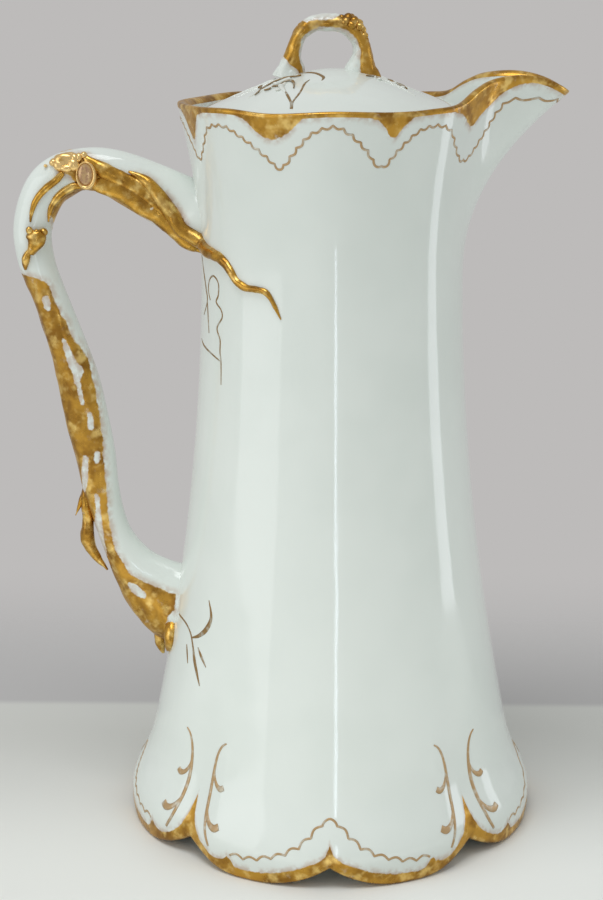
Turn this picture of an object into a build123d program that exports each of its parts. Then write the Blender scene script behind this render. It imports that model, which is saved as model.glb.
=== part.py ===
from build123d import *
import os
from math import cos, exp, hypot, pi, radians, sin

# Chocolate pot in gilded porcelain: a tall fluted pot with a pouring lip, a branch
# handle and a drop-in lid with a twig loop. Millimetres, +Z up, the pot stands on Z = 0.
# The lip points along +X and the handle along -X, and +Y is behind the pot.

# Wall of the pot
rim_height = 220.6
rim_radius = 45.6
mouth_flare = 1.95              # power of the flare from the waist to the rim
waist_height = 171.0
waist_radius = 39.0
skirt_radius = 61.6
skirt_flare = 1.85              # power of the flare from the waist to the skirt
foot_swell = 3.2                # rounded swelling above the foot
foot_swell_height = 10.0
foot_swell_spread = 9.0
wall = 3.0
floor_height = 13.0
floor_thickness = 4.0
floor_corner = 5.0              # how far the inside corner is rounded over

# Four creases from the foot upwards, and eight shallow flutes below the rim
crease_depth = 3.7
crease_top = 84.0
crease_fade = 1.3               # power with which the creases run out towards their top
crease_width = 8.5              # degrees
crease_broad_share = 0.35       # share of the depth that is spread over the whole panel
flute_depth = 0.7
flute_bottom = 150.0
flute_count = 8

# Scalloped foot
scallop_count = 8
scallop_height = 6.5
scallop_flat = 6.0              # width that stands on the table between two scallops
foot_wall = 4.5

# Pouring lip
lip_tip_out = 23.6              # how far the tip stands out beyond the rim's radius
lip_tip_rise = 2.8              # how far the tip and the crest stand above the rim
lip_crest_rise = 7.8
lip_root_rise = 1.0             # how far above the waist the lip begins
lip_flare = 2.2
lip_half_angle = 10.5
lip_root_half_angle = 17.0
lip_sharpness = 3.25
lip_start_share = 0.75          # share of the rim's radius at which the lip's edge rises
lip_tip_slope = 0.7             # how steeply the edge falls at the tip
lip_profile = [                 # the lip's edge: share of its length and share of its rise
    (0.06, 0.12), (0.22, 0.6), (0.36, 0.9), (0.58, 1.0), (0.8, 0.81),
]
rim_dip = 0.9                   # how far the rim drops at a flute

# Ledge inside the mouth that carries the lid
seat_depth = 4.2                # below the rim
ledge_thickness = 3.2
ledge_bearing = 3.4             # how much of the lid's edge rests on the ledge
ledge_gap_angle = 44.0          # open towards the lip, so that the pot pours

# Lid
lid_clearance = 0.25            # between the lid and its seat
lid_margin = 3.55               # between the lid's edge and the inside of the mouth
flange_clearance = 0.8          # between the lid's flange and the bore of the ledge
lid_edge = 1.6
lid_rise = 11.4                 # from the lid's edge to the top of its dome
dome_round = 0.35               # share of the radius over which the dome's top is rounded
lid_wall = 3.2
flange_depth = 8.5
flange_wall = 3.0

# Handle: how far each section stands out from the pot's wall, how far it lies below the
# rim, and its width
handle_sections = [
    (-5.0, 34.1, 21.0), (6.7, 29.7, 18.3), (18.4, 23.7, 15.4), (25.5, 20.8, 13.4),
    (32.0, 20.4, 12.6), (38.2, 22.2, 13.2), (43.2, 25.5, 13.0), (47.2, 31.2, 12.2),
    (49.8, 39.1, 11.4), (49.0, 48.1, 10.9), (46.4, 55.8, 10.4), (42.2, 67.0, 10.8),
    (36.9, 82.2, 12.4), (33.6, 94.6, 13.0), (30.3, 106.6, 12.5), (27.8, 116.6, 11.2),
    (24.6, 125.8, 10.0), (20.7, 134.1, 10.4), (14.7, 142.6, 14.5), (8.0, 149.0, 20.5),
    (1.5, 153.4, 24.0), (-6.0, 156.6, 26.0),
]
handle_depth = 11.4             # front to back
handle_root_spread = 3.0        # added to the depth where the handle meets the pot
handle_spread_length = 14.0     # how far from the wall that spread fades

# Relief on the handle, alike on its front and back faces. A place is a distance out from
# the pot's wall and one below the rim, and a section adds a width.
relief_height = 1.7             # how far the relief stands off the limb
knot_place = (37.4, 18.4)
knot_size = (9.4, 6.0, 6.6)
cut_branch_place = (31.6, 23.0)
cut_branch_size = (5.6, 7.2)
bud_sections = [(48.4, 36.2, 3.6), (49.2, 40.2, 6.8), (50.4, 45.0, 4.4), (51.8, 49.6, 1.8)]
bud_depth = 5.0
branch_sections = [
    (28.4, 23.8, 5.6), (20.5, 26.4, 7.0), (13.0, 30.2, 7.6), (6.6, 34.6, 7.2),
    (0.6, 37.8, 6.6),
]
tendril_sections = [            # degrees round from the front, depth below the rim, width
    (-80.0, 38.4, 6.2), (-68.0, 41.4, 5.4), (-57.0, 43.2, 4.6), (-48.5, 45.7, 4.0),
    (-41.0, 49.0, 3.4), (-33.5, 50.6, 3.0), (-26.5, 52.6, 2.4), (-20.5, 57.9, 1.4),
]

# Leaves beside the handle and below its lower end: place, width and depth
strand_sections = [
    (30.8, 118.2, 3.2, 3.4), (31.2, 123.6, 3.6, 4.0), (31.2, 129.6, 3.6, 4.2),
    (29.2, 135.8, 3.8, 4.2), (25.9, 140.4, 3.2, 3.6), (21.6, 144.6, 2.0, 2.6),
]
spur_sections = [(32.6, 120.0, 2.4, 2.6), (33.9, 123.1, 2.0, 2.2), (34.9, 126.2, 0.9, 1.2)]
side_leaf_sections = [
    (4.4, 160.6, 3.4, 3.8), (5.2, 165.2, 4.2, 4.4), (4.2, 169.6, 3.8, 4.0), (2.6, 172.7, 1.2, 1.6),
]
front_leaf_sections = [         # degrees round from the front, then as above
    (-81.0, 159.6, 3.4, 3.6), (-77.0, 163.8, 4.2, 4.2), (-75.0, 167.8, 3.6, 3.6),
    (-76.5, 171.0, 1.2, 1.8),
]

# Loop on the lid, from its left foot to its right one: distance from the lid's axis,
# height above the top of the dome, and width
loop_sections = [
    (-13.4, -3.8, 8.8), (-12.3, 1.4, 6.4), (-11.1, 5.6, 5.5), (-9.1, 9.8, 4.9),
    (-5.2, 12.5, 4.7), (-0.8, 13.0, 4.9), (3.6, 13.0, 5.1), (7.1, 10.2, 5.0),
    (8.4, 6.0, 5.4), (9.6, 1.4, 6.6), (11.2, -3.8, 9.2),
]
loop_depth = 6.8
flower_place = (5.4, 13.5)
flower_size = (6.2, 8.4, 4.6)
twig_width = 2.4
twig_taper = (1.0, 0.9, 0.45)   # widths at its start, middle and end
# Degrees from the front, and how far in from the lid's edge a twig starts and ends
left_twigs = [(-62.0, 20.3, 10.3), (-76.0, 20.3, 6.8), (-90.0, 18.8, 4.3)]
right_twigs = [(64.0, 21.3, 12.3), (80.0, 21.8, 8.3)]

far_out = 200.0                 # a cut of this size runs well past every side of the pot
overrun = 2.0                   # how far a cut runs on below the table

panel_turn = 90.0
section_points = 32
section_turns = [360 * i / section_points for i in range(section_points + 1)]
limb_turns = list(range(0, 361, 45))
FRONT_TO_BACK = Vector(0, 1, 0)

lip_tip_height = rim_height + lip_tip_rise
lip_crest_height = rim_height + lip_crest_rise
lip_root_height = waist_height + lip_root_rise
lip_tip_reach = rim_radius + lip_tip_out
seat_height = rim_height - seat_depth
lid_seat = seat_height + lid_clearance
dome_edge = lid_seat + lid_edge
dome_top = dome_edge + lid_rise


def panel_radius(height):
    """Outer radius in the middle of a panel: a waist, a flared mouth and a skirt."""
    if height > waist_height:
        rise = (height - waist_height) / (rim_height - waist_height)
        return waist_radius + (rim_radius - waist_radius) * rise**mouth_flare
    drop = (waist_height - height) / waist_height
    swell = foot_swell * exp(-(((height - foot_swell_height) / foot_swell_spread) ** 2))
    return waist_radius + (skirt_radius - waist_radius) * drop**skirt_flare + swell


def fluting(angle, height):
    """How far the creases and the rim's flutes draw the wall in."""
    from_crease = angle % panel_turn - panel_turn / 2
    broad = sin(radians(2 * angle)) ** 2
    narrow = exp(-((from_crease / crease_width) ** 2))
    share = crease_broad_share * broad + (1 - crease_broad_share) * narrow
    crease = crease_depth * max(0.0, 1 - height / crease_top) ** crease_fade * share
    rise = max(0.0, (height - flute_bottom) / (rim_height - flute_bottom))
    flute = flute_depth * min(rise, 1.0) * (1 - cos(radians(flute_count * angle))) / 2
    return crease + flute


def lip_bulge(angle, height):
    """How far the pouring lip pushes the wall out."""
    if height <= lip_root_height:
        return 0.0
    rise = (height - lip_root_height) / (lip_tip_height - lip_root_height)
    half_angle = lip_root_half_angle + (lip_half_angle - lip_root_half_angle) * min(rise, 1.0)
    off_axis = abs((angle + 180) % 360 - 180)
    reach = lip_tip_reach - panel_radius(lip_tip_height)
    return reach * rise**lip_flare / (1 + (off_axis / half_angle) ** lip_sharpness)


def wall_point(angle, height):
    """Point of the outer wall, with the angle counted from the lip, in the plan view."""
    radius = panel_radius(height) - fluting(angle, height) + lip_bulge(angle, height)
    return radius * cos(radians(angle)), radius * sin(radians(angle))


def inset_point(angle, height, inset):
    """Point that lies inside the outer wall, square to it in the plan view."""
    x, y = wall_point(angle, height)
    ahead, behind = wall_point(angle + 1, height), wall_point(angle - 1, height)
    along = (ahead[0] - behind[0], ahead[1] - behind[1])
    length = hypot(*along)
    return x - inset * along[1] / length, y + inset * along[0] / length


def fluted_solid(levels):
    """Solid through the wall's outlines, each given by a height and an inset."""
    with BuildPart() as solid:
        for height, inset in levels:
            with BuildSketch(Plane.XY.offset(height)):
                with BuildLine():
                    points = [inset_point(turn, height, inset) for turn in section_turns[:-1]]
                    add(Edge.make_spline(points, periodic=True, parameters=section_turns))
                make_face()
        loft(ruled=True)
    return solid.part


def heights_between(low, high, shares):
    return [low + (high - low) * share for share in shares]


def limb(sections, depth_along=None):
    """Solid through ovals set square to a path: centre, width across it, and depth.

    The depth lies along the given direction, or else straight out from the pot's axis.
    """
    centres = [Vector(*centre) for centre, width, depth in sections]
    with BuildPart() as solid:
        for index, (centre, width, depth) in enumerate(sections):
            ahead = centres[min(index + 1, len(centres) - 1)]
            behind = centres[max(index - 1, 0)]
            along = (ahead - behind).normalized()
            across = along.cross(depth_along or Vector(centre[0], centre[1], 0)).normalized()
            with BuildSketch(Plane(origin=centre, x_dir=across, z_dir=along)):
                with BuildLine():
                    points = [
                        (width / 2 * cos(radians(turn)), depth / 2 * sin(radians(turn)))
                        for turn in limb_turns[:-1]
                    ]
                    add(Edge.make_spline(points, periodic=True, parameters=limb_turns))
                make_face()
        loft(ruled=True)
    return solid.part


def beside_handle(out, below_rim, y=0.0):
    """Point in the handle's plane, given by its distances from the wall and the rim."""
    height = rim_height - below_rim
    return (-(panel_radius(height) + out), y, height)


def on_wall(front_angle, below_rim):
    """Point of the wall, with the angle counted from the front towards the lip."""
    height = rim_height - below_rim
    x, y = wall_point(front_angle - 90, height)
    return (x, y, height)


def limb_depth(out):
    near = max(0.0, 1 - max(out, 0.0) / handle_spread_length)
    return handle_depth + handle_root_spread * near


def hanging_leaf(sections):
    """Leaf in the handle's plane, through sections that each give a place, width and depth."""
    placed = [(beside_handle(out, down), width, depth) for out, down, width, depth in sections]
    return limb(placed, FRONT_TO_BACK)


def bead(size):
    with BuildPart() as solid:
        Sphere(0.5)
        scale(by=size)
    return solid.part


def dome_height(radius, drop=0.0):
    """Height of the lid's dome: a cone whose top is rounded over."""
    share = hypot(radius / lid_radius, dome_round) - dome_round
    return dome_top - lid_rise * share / (hypot(1, dome_round) - dome_round) - drop


def twig(front_angle, start, end):
    """Tapered twig lying on the dome along a radius."""
    turn = radians(front_angle)
    sections = []
    for inwards, share in zip((start, (start + end) / 2, end), twig_taper):
        r, width = lid_radius - inwards, twig_width * share
        sections.append(((r * sin(turn), -r * cos(turn), dome_height(r)), width, width))
    return limb(sections, Vector(0, 0, 1))


# The lid's radius and the ledge's bore follow the inside of the mouth
lid_radius = panel_radius(seat_height) - flute_depth - wall - lid_margin
ledge_bore_radius = lid_radius - ledge_bearing

# The wall runs on below the table and above the lip, and is trimmed there
lower_shares = (-0.02, 0, 0.025, 0.05, 0.08, 0.12, 0.17, 0.23, 0.3, 0.38, 0.47, 0.58, 0.7, 0.84)
upper_shares = (0, 0.16, 0.3, 0.42, 0.53, 0.63, 0.73, 0.82, 0.91, 1)
lower_heights = heights_between(0.0, waist_height, lower_shares)
upper_heights = heights_between(waist_height, lip_crest_height + overrun, upper_shares)
outer_levels = [(height, 0.0) for height in lower_heights + upper_heights]
corner_share = 1 - 1 / 2**0.5   # where a round corner passes its middle
cavity_levels = [
    (floor_height, wall + floor_corner),
    (floor_height + floor_corner * corner_share, wall + floor_corner * corner_share),
    (floor_height + floor_corner, wall),
]
cavity_levels += [
    (height, wall)
    for height in lower_heights + upper_heights
    if height > floor_height + 2 * floor_corner
]
recess_top = floor_height - floor_thickness
recess_levels = [
    (-overrun, foot_wall),
    (recess_top / 2, foot_wall),
    (recess_top, foot_wall + floor_corner / 2),
]
envelope = fluted_solid(outer_levels)
cavity = fluted_solid(cavity_levels)
recess = fluted_solid(recess_levels)

# Side view of the rim and the lip, from the handle's side to the lip's tip
dip_place = rim_radius * sin(radians(180 / flute_count))
corner_place = rim_radius * cos(radians(180 / flute_count))
lip_start = rim_radius * lip_start_share
lip_length = lip_tip_reach - lip_start
past_tip = 3 * overrun
rim_line = [
    (-rim_radius - 4 * overrun, rim_height),
    (-corner_place, rim_height - rim_dip / 2),
    (-(corner_place + dip_place) / 2, rim_height),
    (-dip_place, rim_height - rim_dip),
    (0, rim_height),
    (dip_place, rim_height - rim_dip / 2),
    (lip_start - past_tip, rim_height),
]
rim_line += [
    (lip_start + lip_length * along, rim_height + lip_crest_rise * rise)
    for along, rise in lip_profile
]
rim_line += [
    (lip_tip_reach, lip_tip_height),
    (lip_tip_reach + past_tip, lip_tip_height - lip_tip_slope * past_tip),
]
with BuildPart() as above_rim:
    with BuildSketch(Plane.XZ):
        with BuildLine():
            Spline(*rim_line)
            Polyline(
                rim_line[-1],
                (lip_tip_reach + far_out, lip_tip_height - far_out),
                (lip_tip_reach + far_out, lip_tip_height + far_out),
                (rim_line[0][0], lip_tip_height + far_out),
                rim_line[0],
            )
        make_face()
    extrude(amount=far_out, both=True)

# One scallop between two standing points of the foot: two arcs that meet in a cusp
foot_radius = panel_radius(0.0)
scallop_half = foot_radius * sin(pi / scallop_count) - scallop_flat / 2
scallop_arc = (scallop_half**2 + scallop_height**2) / (2 * scallop_height)
with BuildPart() as scallop:
    with BuildSketch(Plane.YZ):
        with BuildLine():
            RadiusArc((-scallop_half, 0), (0, scallop_height), -scallop_arc)
            RadiusArc((0, scallop_height), (scallop_half, 0), -scallop_arc)
            Polyline(
                (scallop_half, 0),
                (scallop_half, -overrun),
                (-scallop_half, -overrun),
                (-scallop_half, 0),
            )
        make_face()
    extrude(amount=far_out, both=True)

with BuildPart() as pot_body:
    add(envelope)
    add(cavity, clean=False, mode=Mode.SUBTRACT)
    add(recess, clean=False, mode=Mode.SUBTRACT)
    with PolarLocations(0, scallop_count // 2, angular_range=180):
        add(scallop.part, clean=False, mode=Mode.SUBTRACT)
    add(above_rim.part, clean=False, mode=Mode.SUBTRACT)
    with Locations((0, 0, -far_out / 2)):
        Box(far_out, far_out, far_out, mode=Mode.SUBTRACT)

with BuildPart() as lid_ledge:
    with BuildSketch(Plane.XY.offset(seat_height)):
        Circle(far_out)
        Circle(ledge_bore_radius, mode=Mode.SUBTRACT)
    extrude(amount=-ledge_thickness)
    add(cavity, clean=False, mode=Mode.INTERSECT)
    with BuildSketch(Plane.XY.offset(seat_height)):
        with BuildLine():
            reach = far_out * cos(radians(ledge_gap_angle / 2))
            spread = far_out * sin(radians(ledge_gap_angle / 2))
            Polyline((0, 0), (reach, spread), (reach, -spread), (0, 0))
        make_face()
    extrude(amount=-ledge_thickness, mode=Mode.SUBTRACT)

with BuildPart() as handle:
    sections = [(beside_handle(out, down), width, limb_depth(out)) for out, down, width in handle_sections]
    add(limb(sections, FRONT_TO_BACK))
    add(envelope, clean=False, mode=Mode.SUBTRACT)

face = handle_depth / 2
knot_offset = face + relief_height - knot_size[1] / 2
with BuildPart() as top_knot:
    with Locations(*[beside_handle(*knot_place, side * knot_offset) for side in (-1, 1)]):
        add(bead(knot_size))
    add(handle.part, mode=Mode.SUBTRACT)

with BuildPart() as cut_branch:
    x, y, z = beside_handle(*cut_branch_place)
    with BuildSketch(Plane.XZ):
        with Locations((x, z)):
            Ellipse(cut_branch_size[0] / 2, cut_branch_size[1] / 2)
    extrude(amount=face + relief_height, both=True)
    add([handle.part, top_knot.part], mode=Mode.SUBTRACT)

with BuildPart() as handle_bud:
    y = bud_depth / 2 - relief_height - face
    sections = [(beside_handle(out, down, y), width, bud_depth) for out, down, width in bud_sections]
    add(limb(sections, FRONT_TO_BACK))
    mirror(about=Plane.XZ)
    add(handle.part, mode=Mode.SUBTRACT)

with BuildPart() as handle_branch:
    sections = []
    for out, down, width in branch_sections:
        y = width / 2 - relief_height - limb_depth(out) / 2
        sections.append((beside_handle(out, down, y), width, width))
    add(limb(sections, FRONT_TO_BACK))
    mirror(about=Plane.XZ)
    add([handle.part, cut_branch.part], mode=Mode.SUBTRACT)
    add(envelope, clean=False, mode=Mode.SUBTRACT)

with BuildPart() as body_tendril:
    add(limb([(on_wall(turn, down), width, width) for turn, down, width in tendril_sections]))
    mirror(about=Plane.XZ)
    add([handle.part, handle_branch.part], mode=Mode.SUBTRACT)
    add(envelope, clean=False, mode=Mode.SUBTRACT)

with BuildPart() as leaf_strand:
    add(hanging_leaf(strand_sections))
    add(handle.part, mode=Mode.SUBTRACT)

with BuildPart() as leaf_spur:
    add(hanging_leaf(spur_sections))
    add([handle.part, leaf_strand.part], mode=Mode.SUBTRACT)

with BuildPart() as side_leaf:
    add(hanging_leaf(side_leaf_sections))
    add(handle.part, mode=Mode.SUBTRACT)
    add(envelope, clean=False, mode=Mode.SUBTRACT)

with BuildPart() as front_leaves:
    add(limb([(on_wall(turn, down), width, depth) for turn, down, width, depth in front_leaf_sections]))
    mirror(about=Plane.XZ)
    add([handle.part, side_leaf.part], mode=Mode.SUBTRACT)
    add(envelope, clean=False, mode=Mode.SUBTRACT)

# The lid: a dome with a flange below it that stands inside the bore of the ledge
flange_radius = ledge_bore_radius - flange_clearance
flange_bore = flange_radius - flange_wall
dome_steps = (0, 0.15, 0.35, 0.6, 0.8, 1)
with BuildPart() as dome:
    with BuildSketch(Plane.XZ):
        with BuildLine():
            Spline(*[(lid_radius * s, dome_height(lid_radius * s)) for s in dome_steps])
            Polyline((lid_radius, dome_edge), (lid_radius, lid_seat), (0, lid_seat), (0, dome_top))
        make_face()
    revolve(axis=Axis.Z)

with BuildPart() as lid:
    add(dome.part)
    with BuildSketch(Plane.XY.offset(lid_seat)):
        Circle(flange_radius)
    extrude(amount=-flange_depth)
    with BuildSketch(Plane.XZ):
        with BuildLine():
            inside = [(flange_bore * s, dome_height(flange_bore * s, lid_wall)) for s in dome_steps]
            Spline(*inside)
            Polyline(
                inside[-1],
                (flange_bore, lid_seat - 2 * flange_depth),
                (0, lid_seat - 2 * flange_depth),
                inside[0],
            )
        make_face()
    revolve(axis=Axis.Z, mode=Mode.SUBTRACT)

with BuildPart() as lid_loop:
    sections = [((x, 0, dome_top + rise), width, loop_depth) for x, rise, width in loop_sections]
    add(limb(sections, FRONT_TO_BACK))
    add(dome.part, mode=Mode.SUBTRACT)

with BuildPart() as loop_flower:
    with Locations((flower_place[0], 0, dome_top + flower_place[1])):
        add(bead(flower_size))
    add(lid_loop.part, mode=Mode.SUBTRACT)

lid_sprays = {}
for name, twigs in {"lid_spray_left": left_twigs, "lid_spray_right": right_twigs}.items():
    with BuildPart() as lid_sprays[name]:
        add([twig(*place) for place in twigs])
        add([dome.part, lid_loop.part], mode=Mode.SUBTRACT)

pieces = {
    "pot_body": pot_body,
    "lid_ledge": lid_ledge,
    "handle": handle,
    "top_knot": top_knot,
    "cut_branch": cut_branch,
    "handle_bud": handle_bud,
    "handle_branch": handle_branch,
    "body_tendril": body_tendril,
    "leaf_strand": leaf_strand,
    "leaf_spur": leaf_spur,
    "side_leaf": side_leaf,
    "front_leaves": front_leaves,
    "lid": lid,
    "lid_loop": lid_loop,
    "loop_flower": loop_flower,
    **lid_sprays,
}
os.makedirs("parts", exist_ok=True)
for name, piece in pieces.items():
    piece.part.label = name
    export_step(piece.part, f"parts/{name}.step")
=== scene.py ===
"""Dressed model of a gilded porcelain chocolate pot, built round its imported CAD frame.

The pot stands on Z = 0 with its axis on Z, its lip towards +X and its handle towards -X,
and the photograph looks along +Y. Shapes are worked out in millimetres and written in metres.
"""

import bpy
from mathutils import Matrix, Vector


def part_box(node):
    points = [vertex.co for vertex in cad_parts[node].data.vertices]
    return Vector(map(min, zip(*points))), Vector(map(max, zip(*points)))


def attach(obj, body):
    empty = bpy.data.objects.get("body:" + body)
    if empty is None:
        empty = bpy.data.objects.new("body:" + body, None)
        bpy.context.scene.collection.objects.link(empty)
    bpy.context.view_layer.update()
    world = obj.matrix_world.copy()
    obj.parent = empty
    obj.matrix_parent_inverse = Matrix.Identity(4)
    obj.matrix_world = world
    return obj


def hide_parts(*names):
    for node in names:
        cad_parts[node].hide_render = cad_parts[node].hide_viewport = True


bl_info = {
    "name": "Chocolate pot",
    "version": (1, 0, 0),
    "blender": (4, 5, 0),
    "location": "3D View > Sidebar > Chocolate pot",
    "description": "Builds the dressed surfaces of a gilded porcelain chocolate pot",
    "category": "Object",
}

from functools import partial
from math import atan2, cos, degrees, exp, hypot, pi, radians, sin, sqrt

import bmesh
import bpy
from mathutils import Matrix, Vector, noise

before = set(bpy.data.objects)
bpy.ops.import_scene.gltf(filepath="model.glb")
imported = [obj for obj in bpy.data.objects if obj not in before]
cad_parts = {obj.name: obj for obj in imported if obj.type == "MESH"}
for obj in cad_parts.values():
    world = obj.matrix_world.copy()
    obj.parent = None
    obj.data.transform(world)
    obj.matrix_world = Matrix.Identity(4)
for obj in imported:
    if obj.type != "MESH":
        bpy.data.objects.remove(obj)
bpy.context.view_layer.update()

MM = 0.001
FULL_TURN = 2 * pi
FRONT, BACK = 1, -1
SIDES = (FRONT, BACK)

# Wall of the pot, as in its solids: millimetres and degrees
RIM_HEIGHT = 220.6
RIM_RADIUS = 45.6
MOUTH_FLARE = 1.95
WAIST_HEIGHT = 171.0
WAIST_RADIUS = 39.0
SKIRT_RADIUS = 61.6
SKIRT_FLARE = 1.85
FOOT_SWELL = 3.1                # 0.1 less than in the solids, to stay inside their box
FOOT_SWELL_HEIGHT = 10.0
FOOT_SWELL_SPREAD = 9.0
WALL = 3.0
FLOOR_HEIGHT = 13.0
FLOOR_THICKNESS = 4.0
FLOOR_CORNER = 5.0
FOOT_WALL = 4.5
CREASE_DEPTH = 3.7
CREASE_TOP = 84.0
CREASE_FADE = 1.3
CREASE_WIDTH = 8.5
CREASE_BROAD_SHARE = 0.35
FLUTE_DEPTH = 0.7
FLUTE_BOTTOM = 150.0
FLUTE_COUNT = 8
SCALLOP_COUNT = 8
SCALLOP_HEIGHT = 6.5
SCALLOP_FLAT = 6.0
LIP_TIP_REACH = 69.2
LIP_TIP_HEIGHT = 223.4
LIP_CREST_HEIGHT = 228.4
LIP_ROOT_HEIGHT = 172.0
LIP_FLARE = 2.2
LIP_HALF_ANGLE = 10.5
LIP_ROOT_HALF_ANGLE = 17.0
LIP_SHARPNESS = 3.25
RIM_DIP = 0.9
LIP_START_SHARE = 0.75
LIP_PROFILE = ((0.06, 0.12), (0.22, 0.6), (0.36, 0.9), (0.58, 1.0), (0.8, 0.81))
PANEL_COUNT = 4
PANEL_TURN = 360.0 / PANEL_COUNT

# Handle: distance out from the wall, height and width of each section
HANDLE_SECTIONS = (
    (-3.0, 185.4, 20.4), (1.0, 186.8, 19.0), (6.0, 190.2, 18.0), (18.4, 196.9, 15.4),
    (25.5, 199.8, 13.4), (32.0, 200.2, 12.6), (38.2, 198.4, 13.2), (43.2, 195.1, 13.0),
    (47.2, 189.4, 12.2), (49.74, 181.5, 11.4), (49.0, 172.5, 10.9), (46.4, 164.8, 10.4),
    (42.2, 153.6, 10.8), (36.9, 138.4, 12.4), (33.6, 126.0, 13.0), (30.3, 114.0, 12.5),
    (27.8, 104.0, 11.2), (24.6, 94.8, 10.0), (20.7, 86.5, 10.4), (14.7, 78.0, 14.5),
    (8.0, 71.6, 20.5), (1.5, 67.2, 25.0), (-3.0, 65.4, 28.0),
)
HANDLE_DEPTH = 11.4
HANDLE_ROOT_SPREAD = 3.0
HANDLE_SPREAD_LENGTH = 14.0
ROOT_FILLET = 4.5
ROOT_FILLET_LENGTH = 5.0

# Lid, from the frame: its edge, its seat and the top of its dome
lid_low, lid_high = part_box("lid")
LID_RADIUS = lid_high.x / MM
DOME_TOP = lid_high.z / MM
FLANGE_BOTTOM = lid_low.z / MM
LID_RISE = 11.4
LID_EDGE = 1.6
LID_SEAT = DOME_TOP - LID_RISE - LID_EDGE
DOME_ROUND = 0.35
LID_WALL = 3.2
FLANGE_RADIUS = LID_RADIUS - 4.2
FLANGE_BORE = FLANGE_RADIUS - 3.0

# Camera fitted to the photograph: its place, its turn and its focal length in pixels
PHOTO_HEIGHT = 900
CAMERA_PLACE = (0.0, -570.2, 262.0)
CAMERA_PITCH = 14.448
CAMERA_YAW = -0.913
FOCAL_PIXELS = 1929.5
SENSOR = 36.0


def linear(code):
    """An sRGB hex colour as linear red, green and blue."""
    channels = [int(code[place : place + 2], 16) / 255 for place in (1, 3, 5)]
    return [c / 12.92 if c <= 0.04045 else ((c + 0.055) / 1.055) ** 2.4 for c in channels]


def colour_property(name, code, description):
    return bpy.props.FloatVectorProperty(
        name=name, description=description, subtype="COLOR", size=3, min=0, max=1,
        default=linear(code),
    )


def length_property(name, millimetres, description):
    return bpy.props.FloatProperty(
        name=name, description=description, unit="LENGTH", min=0, default=millimetres * MM,
        precision=5,
    )


class PotColours(bpy.types.PropertyGroup):
    """Colours of the glaze, the gilding and the stage."""

    glaze: colour_property("Glaze", "#e0e6e0", "White body seen through its clear glaze")
    glaze_shade: colour_property("Glaze pooling", "#d3dbd4", "Where the glaze lies thicker")
    gold: colour_property("Gold", "#c3943a", "Burnished gold where it is whole")
    gold_light: colour_property("Light gold", "#efcd7c", "Gold where it is rubbed bright")
    gold_dark: colour_property("Dark gold", "#936824", "Gold in the hollows and where it is thin")
    gold_pale: colour_property("Pale gold", "#ecc987", "Gold rubbed nearly through")
    blush: colour_property("Fade", "#b08a6c", "Rubbed-through edge of the gilding")
    painted_line: colour_property("Painted line", "#b3946a", "Fine brushed gold lines")
    painted_spray: colour_property("Painted spray", "#8f7040", "Thin brushed tendrils")
    cut_face: colour_property("Cut branch face", "#c9a878", "Rubbed end of the cut branch")
    floor_near: colour_property("Floor at the pot", "#eeefea", "Pale floor under the pot")
    # painted shade: the floor's darker tone behind the pot
    floor_shade_behind: colour_property("Floor behind", "#d2d2cd", "Floor behind the pot")
    backdrop: colour_property("Backdrop", "#bdbbba", "Pale backdrop behind the pot")


class PotSizes(bpy.types.PropertyGroup):
    """Sizes of the ornament that the CAD solids don't carry."""

    line_width: length_property("Line width", 0.7, "Width of the fine gold lines")
    line_height: length_property("Line height", 0.24, "Thickness of the fine gold lines")
    scallop: length_property("Line scallop", 0.8, "Height of the scallops below the rim")
    scallop_pitch: length_property("Scallop pitch", 3.1, "Length of one scallop below the rim")
    foot_scallop: length_property("Foot scallop", 1.1, "Height of the scallops above the foot")
    foot_pitch: length_property("Foot scallop pitch", 4.8, "Length of one scallop above the foot")
    bark: length_property("Bark relief", 0.35, "Depth of the bark under the handle's gold")
    pore: length_property("Sponge pore", 1.4, "Grain of the sponged gold edges")
    ripple: length_property("Casting ripple", 0.045, "Depth of the faint upright ripples")


# ---------------------------------------------------------------- shapes of the pot


def panel_radius(height):
    """Outer radius in the middle of a panel: a waist, a flared mouth and a skirt."""
    if height > WAIST_HEIGHT:
        rise = (height - WAIST_HEIGHT) / (RIM_HEIGHT - WAIST_HEIGHT)
        return WAIST_RADIUS + (RIM_RADIUS - WAIST_RADIUS) * rise**MOUTH_FLARE
    drop = (WAIST_HEIGHT - height) / WAIST_HEIGHT
    swell = FOOT_SWELL * exp(-(((height - FOOT_SWELL_HEIGHT) / FOOT_SWELL_SPREAD) ** 2))
    return WAIST_RADIUS + (SKIRT_RADIUS - WAIST_RADIUS) * drop**SKIRT_FLARE + swell


def fluting(angle, height):
    """How far the creases and the rim's flutes draw the wall in."""
    from_crease = angle % PANEL_TURN - PANEL_TURN / 2
    broad = sin(radians(2 * angle)) ** 2
    narrow = exp(-((from_crease / CREASE_WIDTH) ** 2))
    share = CREASE_BROAD_SHARE * broad + (1 - CREASE_BROAD_SHARE) * narrow
    crease = CREASE_DEPTH * max(0.0, 1 - height / CREASE_TOP) ** CREASE_FADE * share
    rise = max(0.0, (height - FLUTE_BOTTOM) / (RIM_HEIGHT - FLUTE_BOTTOM))
    flute = FLUTE_DEPTH * min(rise, 1.0) * (1 - cos(radians(FLUTE_COUNT * angle))) / 2
    return crease + flute


def from_lip(angle):
    """Degrees away from the lip, to either side."""
    return abs((angle + 180) % 360 - 180)


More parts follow.
